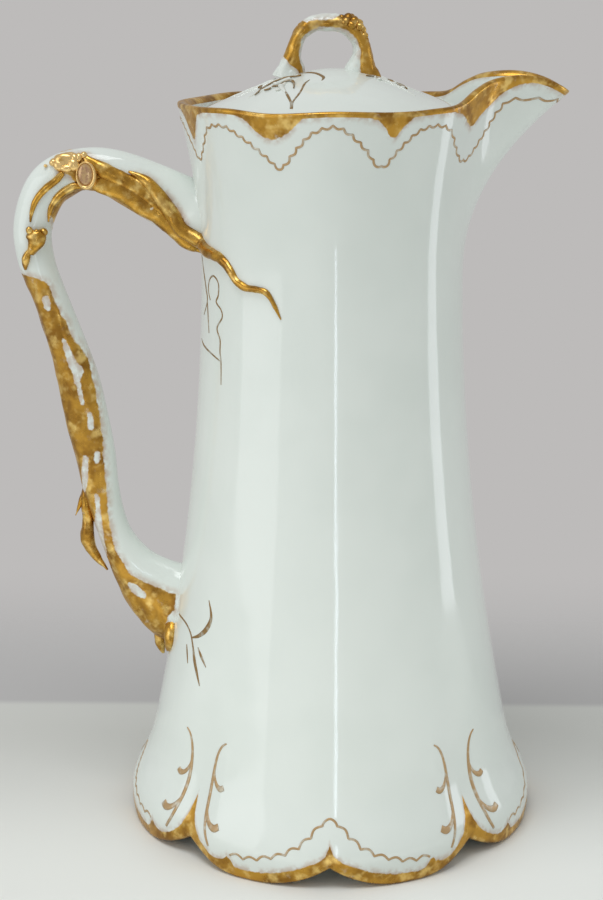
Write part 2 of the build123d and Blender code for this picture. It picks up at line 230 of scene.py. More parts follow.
def lip_bulge(angle, height):
    """How far the pouring lip pushes the wall out."""
    if height <= LIP_ROOT_HEIGHT:
        return 0.0
    rise = (height - LIP_ROOT_HEIGHT) / (LIP_TIP_HEIGHT - LIP_ROOT_HEIGHT)
    half_angle = LIP_ROOT_HALF_ANGLE + (LIP_HALF_ANGLE - LIP_ROOT_HALF_ANGLE) * min(rise, 1.0)
    reach = LIP_TIP_REACH - panel_radius(LIP_TIP_HEIGHT)
    return reach * rise**LIP_FLARE / (1 + (from_lip(angle) / half_angle) ** LIP_SHARPNESS)


def wall_radius(angle, height):
    """Outer radius at an angle counted from the lip."""
    return panel_radius(height) - fluting(angle, height) + lip_bulge(angle, height)


def wall_point(angle, height, inset=0.0):
    """Point of the wall, or one that lies inside it, square to it in the plan view."""
    radius = wall_radius(angle, height)
    x, y = radius * cos(radians(angle)), radius * sin(radians(angle))
    if not inset:
        return Vector((x, y, height))
    ahead, behind = wall_radius(angle + 1, height), wall_radius(angle - 1, height)
    east = ahead * cos(radians(angle + 1)) - behind * cos(radians(angle - 1))
    north = ahead * sin(radians(angle + 1)) - behind * sin(radians(angle - 1))
    length = hypot(east, north)
    return Vector((x - inset * north / length, y + inset * east / length, height))


def smooth_path(points, steps=8):
    """Smooth line through points that each hold the same count of numbers."""
    made, last = [], len(points) - 1
    for index in range(last):
        around = [points[min(max(place, 0), last)] for place in range(index - 1, index + 3)]
        for step in range(steps):
            t = step / steps
            made.append(
                tuple(
                    0.5 * (2 * b + (c - a) * t + (2 * a - 5 * b + 4 * c - d) * t**2
                           + (3 * b - a - 3 * c + d) * t**3)
                    for a, b, c, d in zip(*around)
                )
            )
    return made + [tuple(points[-1])]


def table_value(table, place):
    """Value at a place along a table of (place, value) pairs."""
    for (low, first), (high, last) in zip(table, table[1:]):
        if place <= high:
            return first + (last - first) * max(0.0, place - low) / (high - low)
    return table[-1][1]


def rim_line():
    """Side view of the rim and the lip, as a fine line of (x, z) points."""
    dip = RIM_RADIUS * sin(radians(180 / FLUTE_COUNT))
    corner = RIM_RADIUS * cos(radians(180 / FLUTE_COUNT))
    start = RIM_RADIUS * LIP_START_SHARE
    length = LIP_TIP_REACH - start
    points = [
        (-RIM_RADIUS - 8, RIM_HEIGHT),
        (-corner, RIM_HEIGHT - RIM_DIP / 2),
        (-(corner + dip) / 2, RIM_HEIGHT),
        (-dip, RIM_HEIGHT - RIM_DIP),
        (0.0, RIM_HEIGHT),
        (dip, RIM_HEIGHT - RIM_DIP / 2),
        (start - 6, RIM_HEIGHT),
    ]
    crest = LIP_CREST_HEIGHT - RIM_HEIGHT
    points += [(start + length * along, RIM_HEIGHT + crest * rise) for along, rise in LIP_PROFILE]
    points += [(LIP_TIP_REACH, LIP_TIP_HEIGHT), (LIP_TIP_REACH + 6, LIP_TIP_HEIGHT - 4.2)]
    return smooth_path(points, 12)


RIM_LINE = rim_line()


def rim_height(angle):
    """Height at which the outer wall meets the cut of the rim."""
    low, high = RIM_HEIGHT - 6, LIP_CREST_HEIGHT + 3
    for _ in range(30):
        middle = (low + high) / 2
        if middle < table_value(RIM_LINE, wall_radius(angle, middle) * cos(radians(angle))):
            low = middle
        else:
            high = middle
    return low


RIM_STEP = 0.5
RIM_HEIGHTS = [rim_height(RIM_STEP * index) for index in range(int(360 / RIM_STEP))]


def rim_at(angle):
    """The rim's height, read from its table."""
    place = (angle % 360) / RIM_STEP
    index = int(place)
    share = place - index
    after = RIM_HEIGHTS[(index + 1) % len(RIM_HEIGHTS)]
    return RIM_HEIGHTS[index % len(RIM_HEIGHTS)] * (1 - share) + after * share


SCALLOP_HALF = panel_radius(0.0) * sin(pi / SCALLOP_COUNT) - SCALLOP_FLAT / 2
SCALLOP_ARC = (SCALLOP_HALF**2 + SCALLOP_HEIGHT**2) / (2 * SCALLOP_HEIGHT)


def foot_edge(x, y):
    """Height of the scalloped foot's edge over a point of the table."""
    highest = 0.0
    for index in range(SCALLOP_COUNT // 2):
        turn = radians(index * 360 / SCALLOP_COUNT)
        aside = abs(y * cos(turn) - x * sin(turn))
        if aside < SCALLOP_HALF:
            arc = SCALLOP_ARC - sqrt(SCALLOP_ARC**2 - (SCALLOP_HALF - aside) ** 2)
            highest = max(highest, arc)
    return highest


# ---------------------------------------------------------------- mesh helpers

WALL_BITE = 1.6                 # how deep a joined piece may run into the wall
DOME_BITE = 1.0                 # the same for the lid's dome


def finish_piece(bm, name, body, material, replaced=()):
    """Writes a mesh in millimetres as a smooth-shaded piece that rides on a body."""
    bmesh.ops.scale(bm, vec=(MM, MM, MM), verts=bm.verts)
    mesh = bpy.data.meshes.new(name)
    bm.to_mesh(mesh)
    bm.free()
    mesh.shade_smooth()
    mesh.materials.append(material)
    piece = bpy.data.objects.new(name, mesh)
    bpy.context.scene.collection.objects.link(piece)
    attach(piece, body)
    if replaced:
        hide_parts(*replaced)
    return piece


def close_shape(bm):
    """Merges doubled points and turns every face outwards."""
    bmesh.ops.remove_doubles(bm, verts=bm.verts, dist=0.0005)
    bmesh.ops.recalc_face_normals(bm, faces=bm.faces)
    bm.normal_update()


def oval(centre, along, out, width, depth):
    """Frame of an oval ring: its centre, its run, the way its depth points, and its size."""
    along = Vector(along).normalized()
    across = along.cross(Vector(out)).normalized()
    out = across.cross(along)
    made = Matrix.Identity(4)
    for column, vector in enumerate((across * width / 2, out * depth / 2, along)):
        made.col[column][:3] = vector
    made.col[3][:3] = centre
    return made


def sweep(bm, frames, segments, closed=False):
    """Tube through oval frames: one circle, extruded from frame to frame."""
    layers = bm.verts.layers.float
    along = layers.get("along") or layers.new("along")
    across = layers.get("across") or layers.new("across")
    ring = bmesh.ops.create_circle(bm, segments=segments, radius=1, matrix=frames[0])["verts"]
    edges = first = list(dict.fromkeys(edge for vert in ring for edge in vert.link_edges))
    for index, placed in enumerate(frames):
        if index:
            grown = bmesh.ops.extrude_edge_only(bm, edges=edges)["geom"]
            ring = [item for item in grown if isinstance(item, bmesh.types.BMVert)]
            fresh = set(ring)
            edges = [
                item for item in grown
                if isinstance(item, bmesh.types.BMEdge) and set(item.verts) <= fresh
            ]
            change = placed @ frames[index - 1].inverted()
            bmesh.ops.transform(bm, matrix=change, verts=ring)
        local = placed.inverted()
        for vert in ring:
            vert[along], vert[across] = index / (len(frames) - 1), (local @ vert.co).x
    if closed:
        bmesh.ops.bridge_loops(bm, edges=first + edges)
    else:
        bmesh.ops.edgeloop_fill(bm, edges=first)
        bmesh.ops.edgeloop_fill(bm, edges=edges)


def through(spots, side=FRONT):
    """Oval frames through spots of (x, y, z, three parts of the outward way, width, depth)."""
    flip, last = Vector((1, side, 1)), len(spots) - 1
    places = [Vector(spot[:3]) * flip for spot in spots]
    frames = []
    for index, spot in enumerate(spots):
        along = places[min(index + 1, last)] - places[max(index - 1, 0)]
        frames.append(oval(places[index], along, Vector(spot[3:6]) * flip, *spot[6:]))
    return frames


def upright_spots(points):
    """Spots in the pot's middle plane from (x, z, width, depth)."""
    return [(x, 0, z, 0, -1, 0, width, depth) for x, z, width, depth in points]


def wall_spots(points, lift=0.0):
    """Spots on the wall from (degrees round from the front, height, width, depth)."""
    spots = []
    for turn, height, width, depth in points:
        angle = turn - 90
        round_it = wall_point(angle + 0.3, height) - wall_point(angle - 0.3, height)
        up_it = wall_point(angle, height + 0.3) - wall_point(angle, height - 0.3)
        out = round_it.cross(up_it).normalized()
        spots.append((*(wall_point(angle, height) + out * lift), *out, width, depth))
    return spots


def dome_height(radius, drop=0.0):
    """Height of the lid's dome: a cone whose top is rounded over."""
    share = hypot(radius / LID_RADIUS, DOME_ROUND) - DOME_ROUND
    return DOME_TOP - LID_RISE * share / (hypot(1, DOME_ROUND) - DOME_ROUND) - drop


def dome_spots(points, lift=0.0):
    """Spots on the lid's dome from (x, y, width, depth)."""
    spots = []
    for x, y, width, depth in points:
        radius = max(hypot(x, y), 0.01)
        slope = (dome_height(radius + 0.2) - dome_height(max(radius - 0.2, 0))) / 0.4
        out = Vector((-slope * x / radius, -slope * y / radius, 1)).normalized()
        place = Vector((x, y, dome_height(radius))) + out * lift
        spots.append((*place, *out, width, depth))
    return spots


def spin(bm, profile, columns):
    """Turns a chain of (radius, height) points about the pot's axis."""
    chain = [bm.verts.new((radius, 0, height)) for radius, height in profile]
    edges = [bm.edges.new(pair) for pair in zip(chain, chain[1:])]
    bmesh.ops.spin(
        bm, geom=chain + edges, axis=(0, 0, 1), cent=(0, 0, 0), steps=columns,
        angle=FULL_TURN, use_merge=True,
    )


def bead(bm, centre, size, round_steps=20):
    """Flattened ball: centre and its three widths."""
    matrix = Matrix.Translation(centre) @ Matrix.Diagonal((*[width / 2 for width in size], 1))
    bmesh.ops.create_uvsphere(
        bm, u_segments=round_steps, v_segments=round_steps // 2 + 2, radius=1, matrix=matrix
    )


def roughen(bm, amount, size):
    """Moves points along their normals by a smooth noise, so many millimetres high and wide."""
    for vert in bm.verts:
        vert.co += vert.normal * amount * noise.noise(Vector([value / size for value in vert.co]))


def draw_back(bm, body):
    """Draws points that run deep into the wall or the dome back to just below its surface."""
    for vert in bm.verts:
        x, y, z = vert.co
        radius = hypot(x, y)
        if body == "lid":
            vert.co.z = max(z, dome_height(radius) - DOME_BITE)
            continue
        least = wall_radius(degrees(atan2(y, x)), min(z, RIM_HEIGHT)) - WALL_BITE
        if radius < least:
            vert.co.x *= least / radius
            vert.co.y *= least / radius


def finish_relief(bm, name, body, material, replaced=(), bumps=()):
    """Closes an ornament, roughens it by (height, width) bumps and writes it as a piece."""
    close_shape(bm)
    for amount, size in bumps:
        roughen(bm, amount, size)
    draw_back(bm, body)
    finish_piece(bm, name, body, material, replaced)


# ---------------------------------------------------------------- materials

GLAZE_ROUGHNESS = 0.08
# Settings of the nodes that step smoothly between two levels and that mix colours
SMOOTH = {"interpolation_type": "SMOOTHSTEP"}
IN_COLOUR = {"data_type": "RGBA"}


def add_node(tree, kind, inputs=(), output=None, **settings):
    """Adds a node with its settings and sets or links its inputs, in order or by name.

    Gives the output that is named, or else the first one in use.
    """
    node = tree.nodes.new("ShaderNode" + kind)
    for name, value in settings.items():
        setattr(node, name, value)
    used = [socket for socket in node.inputs if socket.enabled]
    if isinstance(inputs, dict):
        used, inputs = [node.inputs[name] for name in inputs], inputs.values()
    for socket, value in zip(used, inputs):
        if isinstance(value, bpy.types.NodeSocket):
            tree.links.new(value, socket)
        else:
            socket.default_value = (*value, 1.0) if socket.type == "RGBA" else value
    if output:
        return node.outputs[output]
    return next((socket for socket in node.outputs if socket.enabled), None)


def new_material(name):
    """An empty material, the call that adds a node to it, and its Object coordinates."""
    material = bpy.data.materials.new(name)
    material.use_nodes = True
    material.node_tree.nodes.clear()
    add = partial(add_node, material.node_tree)
    return material, add, add("TexCoord", output="Object")


def finish_material(material, add, surface):
    """Gives a material its shader, with these inputs."""
    add("OutputMaterial", (add("BsdfPrincipled", surface),))
    return material


def repeats(millimetres):
    """Scale of a pattern whose grain is so many millimetres wide, to the metre."""
    return 1 / (millimetres * MM)


def mottle(add, place, size, detail, low, high, to_low=0.0, to_high=1.0, roughness=0.55):
    """Soft patches about so many millimetres wide: noise, sharpened between two levels."""
    patches = add("TexNoise", (place, repeats(size), detail, roughness))
    return add("MapRange", (patches, low, high, to_low, to_high), **SMOOTH)


def gold_colour(add, place, colours):
    """Burnished gold: rubbed bright in places, brown where it is thin."""
    whole = mottle(add, place, 7.0, 3, 0.32, 0.6)
    rubbed = mottle(add, place, 3.4, 2, 0.46, 0.74, 0.0, 0.85)
    body = add("Mix", (whole, colours.gold_dark, colours.gold), **IN_COLOUR)
    return add("Mix", (rubbed, body, colours.gold_light), **IN_COLOUR)


def glazed_porcelain(gilded):
    """Hard-paste porcelain, cast, dipped in clear glaze and fired.

    The glaze gives a sharp, even gloss over a faintly green white, and pools slightly
    unevenly. Casting leaves faint ripples up the wall below it. Where it is gilded, gold is
    sponged over the glaze before a last firing, so its border is a little ragged and rubs
    through to a brown fade.
    """
    name = "gilded_glazed_porcelain" if gilded else "glazed_porcelain"
    if name in bpy.data.materials:
        return bpy.data.materials[name]
    colours, sizes = bpy.context.scene.pot_colours, bpy.context.scene.pot_sizes
    material, add, place = new_material(name)
    pooling = mottle(add, place, 26, 2, 0.35, 0.7, 0.0, 0.3)
    colour = add("Mix", (pooling, colours.glaze, colours.glaze_shade), **IN_COLOUR)
    waves = add("TexNoise", (place, repeats(9), 1, 0.55))
    waves = add("Math", (waves, 0.03 * MM), operation="MULTIPLY")
    ripple = add("Mapping", {"Vector": place, "Scale": (1, 1, 0.04)})
    ripple = add("TexNoise", (ripple, repeats(6), 2, 0.55))
    height = add("Math", (ripple, sizes.ripple, waves), operation="MULTIPLY_ADD")
    surface = {"IOR": 1.5, "Roughness": GLAZE_ROUGHNESS}
    if gilded:
        border = add("Attribute", output="Fac", attribute_name="gilt")
        sponge = add("TexNoise", (place, 1 / sizes.pore, 3, 0.55))
        sponge = add("Math", (sponge, 0.5), operation="SUBTRACT")
        ragged = add("Math", (sponge, 1.1, border), operation="MULTIPLY_ADD")
        gold = add("MapRange", (ragged, -0.2, 0.25), **SMOOTH)
        thin = mottle(add, place, 3.0, 3, 0.6, 0.8, 1.0, 0.7)
        gold = add("Math", (gold, thin), operation="MULTIPLY")
        fade = add("MapRange", (ragged, -2.4, 0.3, 0.0, 0.62), **SMOOTH)
        cloud = mottle(add, place, 2.6, 2, 0.3, 0.62)
        fade = add("Math", (fade, cloud), operation="MULTIPLY")
        colour = add("Mix", (fade, colour, colours.blush), **IN_COLOUR)
        colour = add("Mix", (gold, colour, gold_colour(add, place, colours)), **IN_COLOUR)
        polish = mottle(add, place, 2.2, 2, 0.3, 0.7, 0.26, 0.4)
        polish = add("Math", (polish, GLAZE_ROUGHNESS), operation="SUBTRACT")
        rough = add("Math", (gold, polish, GLAZE_ROUGHNESS), operation="MULTIPLY_ADD")
        metal = add("MapRange", (gold, 0.6, 1.0, 0.0, 0.8), **SMOOTH)
        surface.update({"Roughness": rough, "Metallic": metal})
    bump = add("Bump", {"Distance": 1.0, "Height": height})
    return finish_material(material, add, surface | {"Base Color": colour, "Normal": bump})


def worn_gilding(pale=False):
    """Gold fired over modelled relief, then handled for years.

    It is bright on the high spots, brown in the hollows, and lets white glaze through in
    small worn places. Brush marks leave a fine grain that softens its gloss.
    """
    name = "pale_worn_gilding" if pale else "worn_gilding"
    if name in bpy.data.materials:
        return bpy.data.materials[name]
    colours = bpy.context.scene.pot_colours
    material, add, place = new_material(name)
    colour = gold_colour(add, place, colours)
    if pale:
        light = mottle(add, place, 3.0, 2, 0.25, 0.5)
        colour = add("Mix", (light, colour, colours.gold_pale), **IN_COLOUR)
    worn = mottle(add, place, 3.0, 3, 0.7, 0.8, roughness=0.5)
    colour = add("Mix", (worn, colour, colours.glaze), **IN_COLOUR)
    metal = add("MapRange", (worn, 0.0, 0.3, 0.82, 0.0), **SMOOTH)
    brushed = add("TexNoise", (place, repeats(0.9), 2, 0.55))
    brushed = add("Math", (brushed, 0.04 * MM), operation="MULTIPLY")
    bump = add("Bump", {"Distance": 1.0, "Height": brushed})
    polish = mottle(add, place, 1.8, 2, 0.3, 0.7, 0.2, 0.36)
    surface = {"Base Color": colour, "Metallic": metal, "Roughness": polish, "Normal": bump}
    return finish_material(material, add, surface)


def brushed_gold(kind):
    """Liquid gold laid on with a liner brush: duller than burnished gold, and uneven.

    A line is a full stroke. A spray is drawn thinner, and fires browner.
    """
    name = "brushed_gold_" + kind
    if name in bpy.data.materials:
        return bpy.data.materials[name]
    colours = bpy.context.scene.pot_colours
    material, add, place = new_material(name)
    thin = mottle(add, place, 2.6, 3, 0.45, 0.72, 0.0, 0.55)
    full = colours.painted_spray if kind == "spray" else colours.painted_line
    colour = add("Mix", (thin, full, colours.glaze_shade), **IN_COLOUR)
    surface = {"Base Color": colour, "Metallic": 0.35, "Roughness": 0.36}
    return finish_material(material, add, surface)


def gold_wash():
    """Rubbed gold wash over the end of the cut branch: half gold, half the glaze below it."""
    colours = bpy.context.scene.pot_colours
    material, add, place = new_material("rubbed_gold_wash")
    spots = mottle(add, place, 0.9, 3, 0.4, 0.65)
    colour = add("Mix", (spots, colours.cut_face, colours.blush), **IN_COLOUR)
    surface = {"Base Color": colour, "Metallic": 0.45, "Roughness": 0.2}
    return finish_material(material, add, surface)


# ---------------------------------------------------------------- the pot's wall

WALL_COLUMNS = 320
LOWER_JOIN, UPPER_JOIN = 30.0, 195.0    # heights between which the wall holds no gold
# Rounded edges of the foot and the rim: how far in from the outer wall, and height
OUTER_EDGE = ((0.0, 1.4), (0.12, 0.75), (0.45, 0.28), (1.0, 0.04), (1.6, 0.0))
RIM_EDGE = (
    (0.0, -1.0), (0.12, -0.5), (0.45, -0.14), (0.95, 0.0), (1.6, -0.02), (2.25, -0.3),
    (2.75, -0.85), (3.0, -1.6),
)
# Rows of points: up the inside, below and above the upper join, then down the outside
INNER_ROWS, MOUTH_ROWS, RIM_ROWS, PANEL_ROWS, SKIRT_ROWS = 24, 26, 46, 48, 48
MOUTH_CROWDING = 1.7                    # draws the rows inside the mouth towards the rim
# Millimetres inside a gold border: well outside one, on the rim's edge and on the foot's
FAR_FROM_GOLD, ON_RIM, ON_FOOT, UNDER_FOOT = -9.0, 3.0, 2.0, -1.0
BESIDE_GOLD = -1.6                      # near enough for a brown fade, too far for gold
INNER_GOLD = 1.0                        # how far the gold runs down inside the rim
# Gold below the rim: degrees from the lip and depth
RIM_GOLD = (
    (0, 0.9), (5.5, 1.0), (8, 1.2), (11, 1.6), (13, 2.5), (14.5, 3.7), (16.5, 5.0), (18.5, 6.8),
    (21.5, 8.3), (24.5, 9.4), (27, 10.6), (29, 10.2), (31, 8.4), (33.5, 6.0), (36, 3.8),
    (39, 2.3), (44, 1.4), (52, 1.1), (58, 1.3), (60.2, 1.7), (63.7, 4.1), (66.5, 6.8), (69, 6.8),
    (71, 3.9), (74, 2.1), (80, 1.3), (90, 1.1), (97, 1.2), (100.2, 1.5), (103, 3.2), (106, 5.4),
    (109.5, 6.6), (112.9, 7.1), (116, 6.6), (119.2, 4.9), (122, 2.9), (125, 1.7), (130, 1.2),
    (143, 1.3), (149, 2.4), (153, 6.0), (156, 9.4), (158, 10.0), (160, 8.0), (164, 3.5),
    (168, 1.6), (180, 1.3),
)
# Gold above the foot's edge: degrees from the middle of a panel and height
FOOT_GOLD = (
    (0, 5.4), (0.9, 3.3), (3, 2.9), (6, 3.0), (10, 2.8), (14.5, 2.5), (18, 2.2), (22.5, 1.9),
    (25.5, 1.8), (27.4, 2.6), (28.8, 5.4), (30.2, 3.4), (33.5, 2.0), (36, 1.9), (39, 2.5),
    (41.5, 3.6), (43.2, 5.6), (44.2, 7.6), (45, 11.5),
)


def rim_gold(angle, below):
    """Millimetres inside the rim's gold border, on the outer wall."""
    return table_value(RIM_GOLD, from_lip(angle)) - below


def foot_gold(angle, above):
    """Millimetres inside the foot's gold border, on the outer wall."""
    from_middle = abs((angle + PANEL_TURN / 2) % PANEL_TURN - PANEL_TURN / 2)
    return table_value(FOOT_GOLD, from_middle) - above


def shares(count):
    """Even shares from 0 up to, but not with, 1."""
    return [index / count for index in range(count)]


def wall_profile(angle):
    """Points of the wall, each with its gilding: from the floor, over the rim, to the foot."""
    made = []

    def row(height, inset, gold=FAR_FROM_GOLD):
        made.append((wall_point(angle, height, inset), gold))

    def disc(height, inset, parts):
        edge = wall_point(angle, height, inset)
        for part in parts:
            made.append((Vector((edge.x * part, edge.y * part, height)), FAR_FROM_GOLD))

    rim = rim_at(angle)
    disc(FLOOR_HEIGHT, WALL + FLOOR_CORNER, (0.0, 0.3, 0.6, 0.85))
    for share in shares(5):
        turn = share * pi / 2
        inset = WALL + FLOOR_CORNER * (1 - sin(turn))
        row(FLOOR_HEIGHT + FLOOR_CORNER * (1 - cos(turn)), inset)
    corner_top = FLOOR_HEIGHT + FLOOR_CORNER
    for share in shares(INNER_ROWS):
        row(corner_top + (UPPER_JOIN - corner_top) * share, WALL)
    inner_top = rim + RIM_EDGE[-1][1]
    for share in shares(MOUTH_ROWS):
        height = UPPER_JOIN + (inner_top - UPPER_JOIN) * (1 - (1 - share) ** MOUTH_CROWDING)
        row(height, WALL, INNER_GOLD - (rim - height))
    for inset, rise in reversed(RIM_EDGE):
        row(rim + rise, inset, ON_RIM)
    outer_top = rim + RIM_EDGE[0][1]
    for share in shares(RIM_ROWS)[1:]:
        height = outer_top + (UPPER_JOIN - outer_top) * share
        row(height, 0.0, rim_gold(angle, rim - height))
    for share in shares(PANEL_ROWS):
        row(UPPER_JOIN + (LOWER_JOIN - UPPER_JOIN) * share, 0.0)
    edge_rise = OUTER_EDGE[0][1]
    foot = wall_point(angle, 0.0)
    low = foot_edge(foot.x, foot.y) + edge_rise
    for share in shares(SKIRT_ROWS):
        height = LOWER_JOIN + (low - LOWER_JOIN) * share
        row(height, 0.0, foot_gold(angle, height - low))
    under = [(FOOT_WALL - inset, rise) for inset, rise in reversed(OUTER_EDGE)]
    for index, (inset, rise) in enumerate((*OUTER_EDGE, *under)):
        below = wall_point(angle, max(low - edge_rise, 0.0), inset)
        height = foot_edge(below.x, below.y) + rise
        gold = ON_FOOT if index <= len(OUTER_EDGE) else UNDER_FOOT
        made.append((wall_point(angle, height, inset) if height > 0 else below, gold))
    recess_top = FLOOR_HEIGHT - FLOOR_THICKNESS
    inner = wall_point(angle, low - edge_rise, FOOT_WALL)
    inner_low = foot_edge(inner.x, inner.y) + edge_rise
    for share in shares(5)[1:]:
        height = inner_low + (recess_top - inner_low) * share
        row(height, FOOT_WALL + FLOOR_CORNER / 2 * share**2)
    disc(recess_top, FOOT_WALL + FLOOR_CORNER / 2, (1.0, 0.8, 0.55, 0.3, 0.0))
    return made


class POT_OT_wall(bpy.types.Operator):
    """Cast wall of the pot with its floor, foot, rim and lip"""

    bl_idname = "pot.wall"
    bl_label = "Pot wall"

    def execute(self, context):
        profiles = [wall_profile(360 * index / WALL_COLUMNS) for index in range(WALL_COLUMNS)]
        bm = bmesh.new()
        gilt = bm.verts.layers.float.new("gilt")
        spin(bm, [(index + 1, 0) for index in range(len(profiles[0]))], WALL_COLUMNS)
        for vert in bm.verts:
            row = round(hypot(vert.co.x, vert.co.y)) - 1
            column = round(atan2(vert.co.y, vert.co.x) / FULL_TURN * WALL_COLUMNS) % WALL_COLUMNS
            vert.co, vert[gilt] = profiles[column][row]
        close_shape(bm)
        finish_piece(bm, "pot_wall", "pot", glazed_porcelain(True), ["pot_body"])
        return {"FINISHED"}


class POT_OT_ledge(bpy.types.Operator):
    """Glaze on the ledge that carries the lid"""

    bl_idname = "pot.ledge"
    bl_label = "Lid ledge"

    def execute(self, context):
        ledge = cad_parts["lid_ledge"]
        ledge.data.materials.clear()
        ledge.data.materials.append(glazed_porcelain(False))
        return {"FINISHED"}


# ---------------------------------------------------------------- the handle

HANDLE_RINGS_PER_SECTION = 11
HANDLE_SEGMENTS = 56
BARK_EDGE = 1.8                 # over which the bark rises inside the gold's border

# Borders of the handle's gold in its own plane, (x, z)
BARK_UPPER = (
    (-71.8, 204.6), (-69.6, 203.0), (-64.7, 200.5), (-60.4, 199.0), (-57.4, 197.8),
    (-56.2, 199.2), (-54.6, 198.4), (-51.6, 196.6), (-48.4, 193.3), (-45.1, 189.4),
    (-43.0, 185.6), (-41.2, 182.3), (-38.0, 180.0), (-34.0, 178.0), (-34.0, 168.0),
    (-40.9, 175.0), (-44.7, 178.6), (-48.5, 182.6), (-51.8, 184.9), (-56.2, 186.3),
    (-60.5, 188.6), (-64.9, 190.6), (-69.8, 191.6), (-74.5, 190.6), (-79.0, 187.4),
    (-82.4, 184.0), (-82.9, 187.4), (-80.6, 191.6), (-77.4, 194.6), (-75.0, 196.0),
    (-76.4, 199.0), (-80.2, 200.0), (-80.6, 203.0), (-78.0, 205.0), (-74.5, 205.0),
)
BARK_LOWER = (
    (-90.1, 169.4), (-87.9, 168.7), (-85.5, 167.9), (-84.0, 166.9), (-83.4, 165.3),
    (-82.6, 162.6), (-81.7, 160.5), (-80.7, 157.7), (-79.1, 155.3), (-78.2, 152.5),
    (-77.2, 150.1), (-75.5, 148.0), (-74.2, 145.9), (-72.9, 143.1), (-72.5, 140.7),
    (-71.9, 137.5), (-71.1, 135.0), (-70.7, 131.5), (-70.1, 128.0), (-69.7, 123.7),
    (-69.2, 119.5), (-69.0, 112.9), (-68.6, 106.2), (-68.2, 100.5), (-68.0, 95.4),
    (-67.1, 89.7), (-65.9, 84.0), (-63.4, 80.0), (-62.0, 77.0), (-57.8, 74.6),
    (-53.5, 72.9), (-49.6, 71.4), (-47.5, 71.2), (-48.0, 66.2), (-50.0, 64.5),
    (-50.6, 61.5), (-49.0, 58.0), (-50.0, 52.0), (-60.0, 48.0), (-82.0, 60.0),
    (-90.0, 100.0), (-98.0, 150.0), (-94.0, 169.6),
)
# Strokes along the lower limb where the gold is worn away: x, z and half width
WORN_STROKES = (
    ((-84.9, 162.4, 1.1), (-84.5, 159.8, 1.0)),
    ((-79.9, 150.0, 0.6), (-78.9, 146.6, 1.0), (-77.4, 142.6, 1.3), (-76.0, 140.4, 1.6),
     (-76.5, 137.6, 0.9)),
    ((-75.8, 136.4, 0.6), (-75.0, 130.8, 0.6)),
    ((-72.8, 127.6, 0.7), (-72.6, 123.3, 0.9)),
    ((-70.8, 115.0, 0.9), (-71.1, 112.9, 0.9)),
    ((-74.4, 113.7, 0.8), (-75.0, 109.0, 1.1), (-75.1, 105.6, 0.9), (-75.6, 102.6, 0.5)),
    ((-71.4, 101.6, 0.8), (-71.1, 97.7, 0.7), (-71.3, 92.0, 1.4), (-70.7, 86.3, 1.1),
     (-69.4, 82.3, 0.5)),
    ((-61.9, 73.3, 0.8), (-60.4, 71.9, 1.5), (-58.0, 70.2, 1.1)),
)


def off_segment(first, last, x, z):
    """Distance from a line between two points, and the share along it that is nearest."""
    run, rise = last[0] - first[0], last[1] - first[1]
    share = ((x - first[0]) * run + (z - first[1]) * rise) / (run**2 + rise**2)
    share = min(1.0, max(0.0, share))
    return hypot(x - first[0] - share * run, z - first[1] - share * rise), share


def inside_by(outline, x, z):
    """Distance inside a closed outline, negative outside it."""
    nearest, inside = 1e9, False
    for first, last in zip(outline, outline[1:] + outline[:1]):
        nearest = min(nearest, off_segment(first, last, x, z)[0])
        crosses = (first[1] > z) != (last[1] > z)
        if crosses:
            level = (z - first[1]) / (last[1] - first[1])
            inside ^= x < first[0] + level * (last[0] - first[0])
    return nearest if inside else -nearest


def off_stroke(stroke, x, z):
    """Distance outside a stroke of (x, z, half width) points, negative inside it."""
    nearest = 1e9
    for first, last in zip(stroke, stroke[1:]):
        away, share = off_segment(first, last, x, z)
        nearest = min(nearest, away - first[2] - share * (last[2] - first[2]))
    return nearest


def handle_gold(x, z):
    """Millimetres inside the border of the handle's gold."""
    lower = min([inside_by(BARK_LOWER, x, z), *(off_stroke(worn, x, z) for worn in WORN_STROKES)])
    return max(FAR_FROM_GOLD, inside_by(BARK_UPPER, x, z), lower)


def handle_path():
    """Middle line of the limb with its width and depth."""
    sections = []
    for out, height, width in HANDLE_SECTIONS:
        near = max(0.0, 1 - max(out, 0.0) / HANDLE_SPREAD_LENGTH)
        fillet = ROOT_FILLET * max(0.0, 1 - max(out, 0.0) / ROOT_FILLET_LENGTH) ** 2
        depth = HANDLE_DEPTH + HANDLE_ROOT_SPREAD * near + fillet
        sections.append((-(panel_radius(height) + out), height, width, depth))
    return smooth_path(sections, HANDLE_RINGS_PER_SECTION)


HANDLE_PATH = handle_path()


def handle_face(x, z):
    """How far the limb's face stands from its middle plane over a point of that plane.

    A point at the limb's edge or beyond it counts as one just inside the edge.
    """
    near_x, near_z, width, depth = min(HANDLE_PATH, key=lambda spot: hypot(spot[0] - x, spot[1] - z))
    aside = min(0.96, hypot(near_x - x, near_z - z) / (width / 2))
    return depth / 2 * sqrt(1 - aside**2)


def limb_spots(points, sink):
    """Spots on the limb's front face from (x, z, width, depth), sunk in by a share."""
    spots = []
    for x, z, width, depth in points:
        y = -handle_face(x, z) - depth * (0.5 - sink)
        spots.append((x, y, z, 0, -1, 0, width, depth))
    return spots


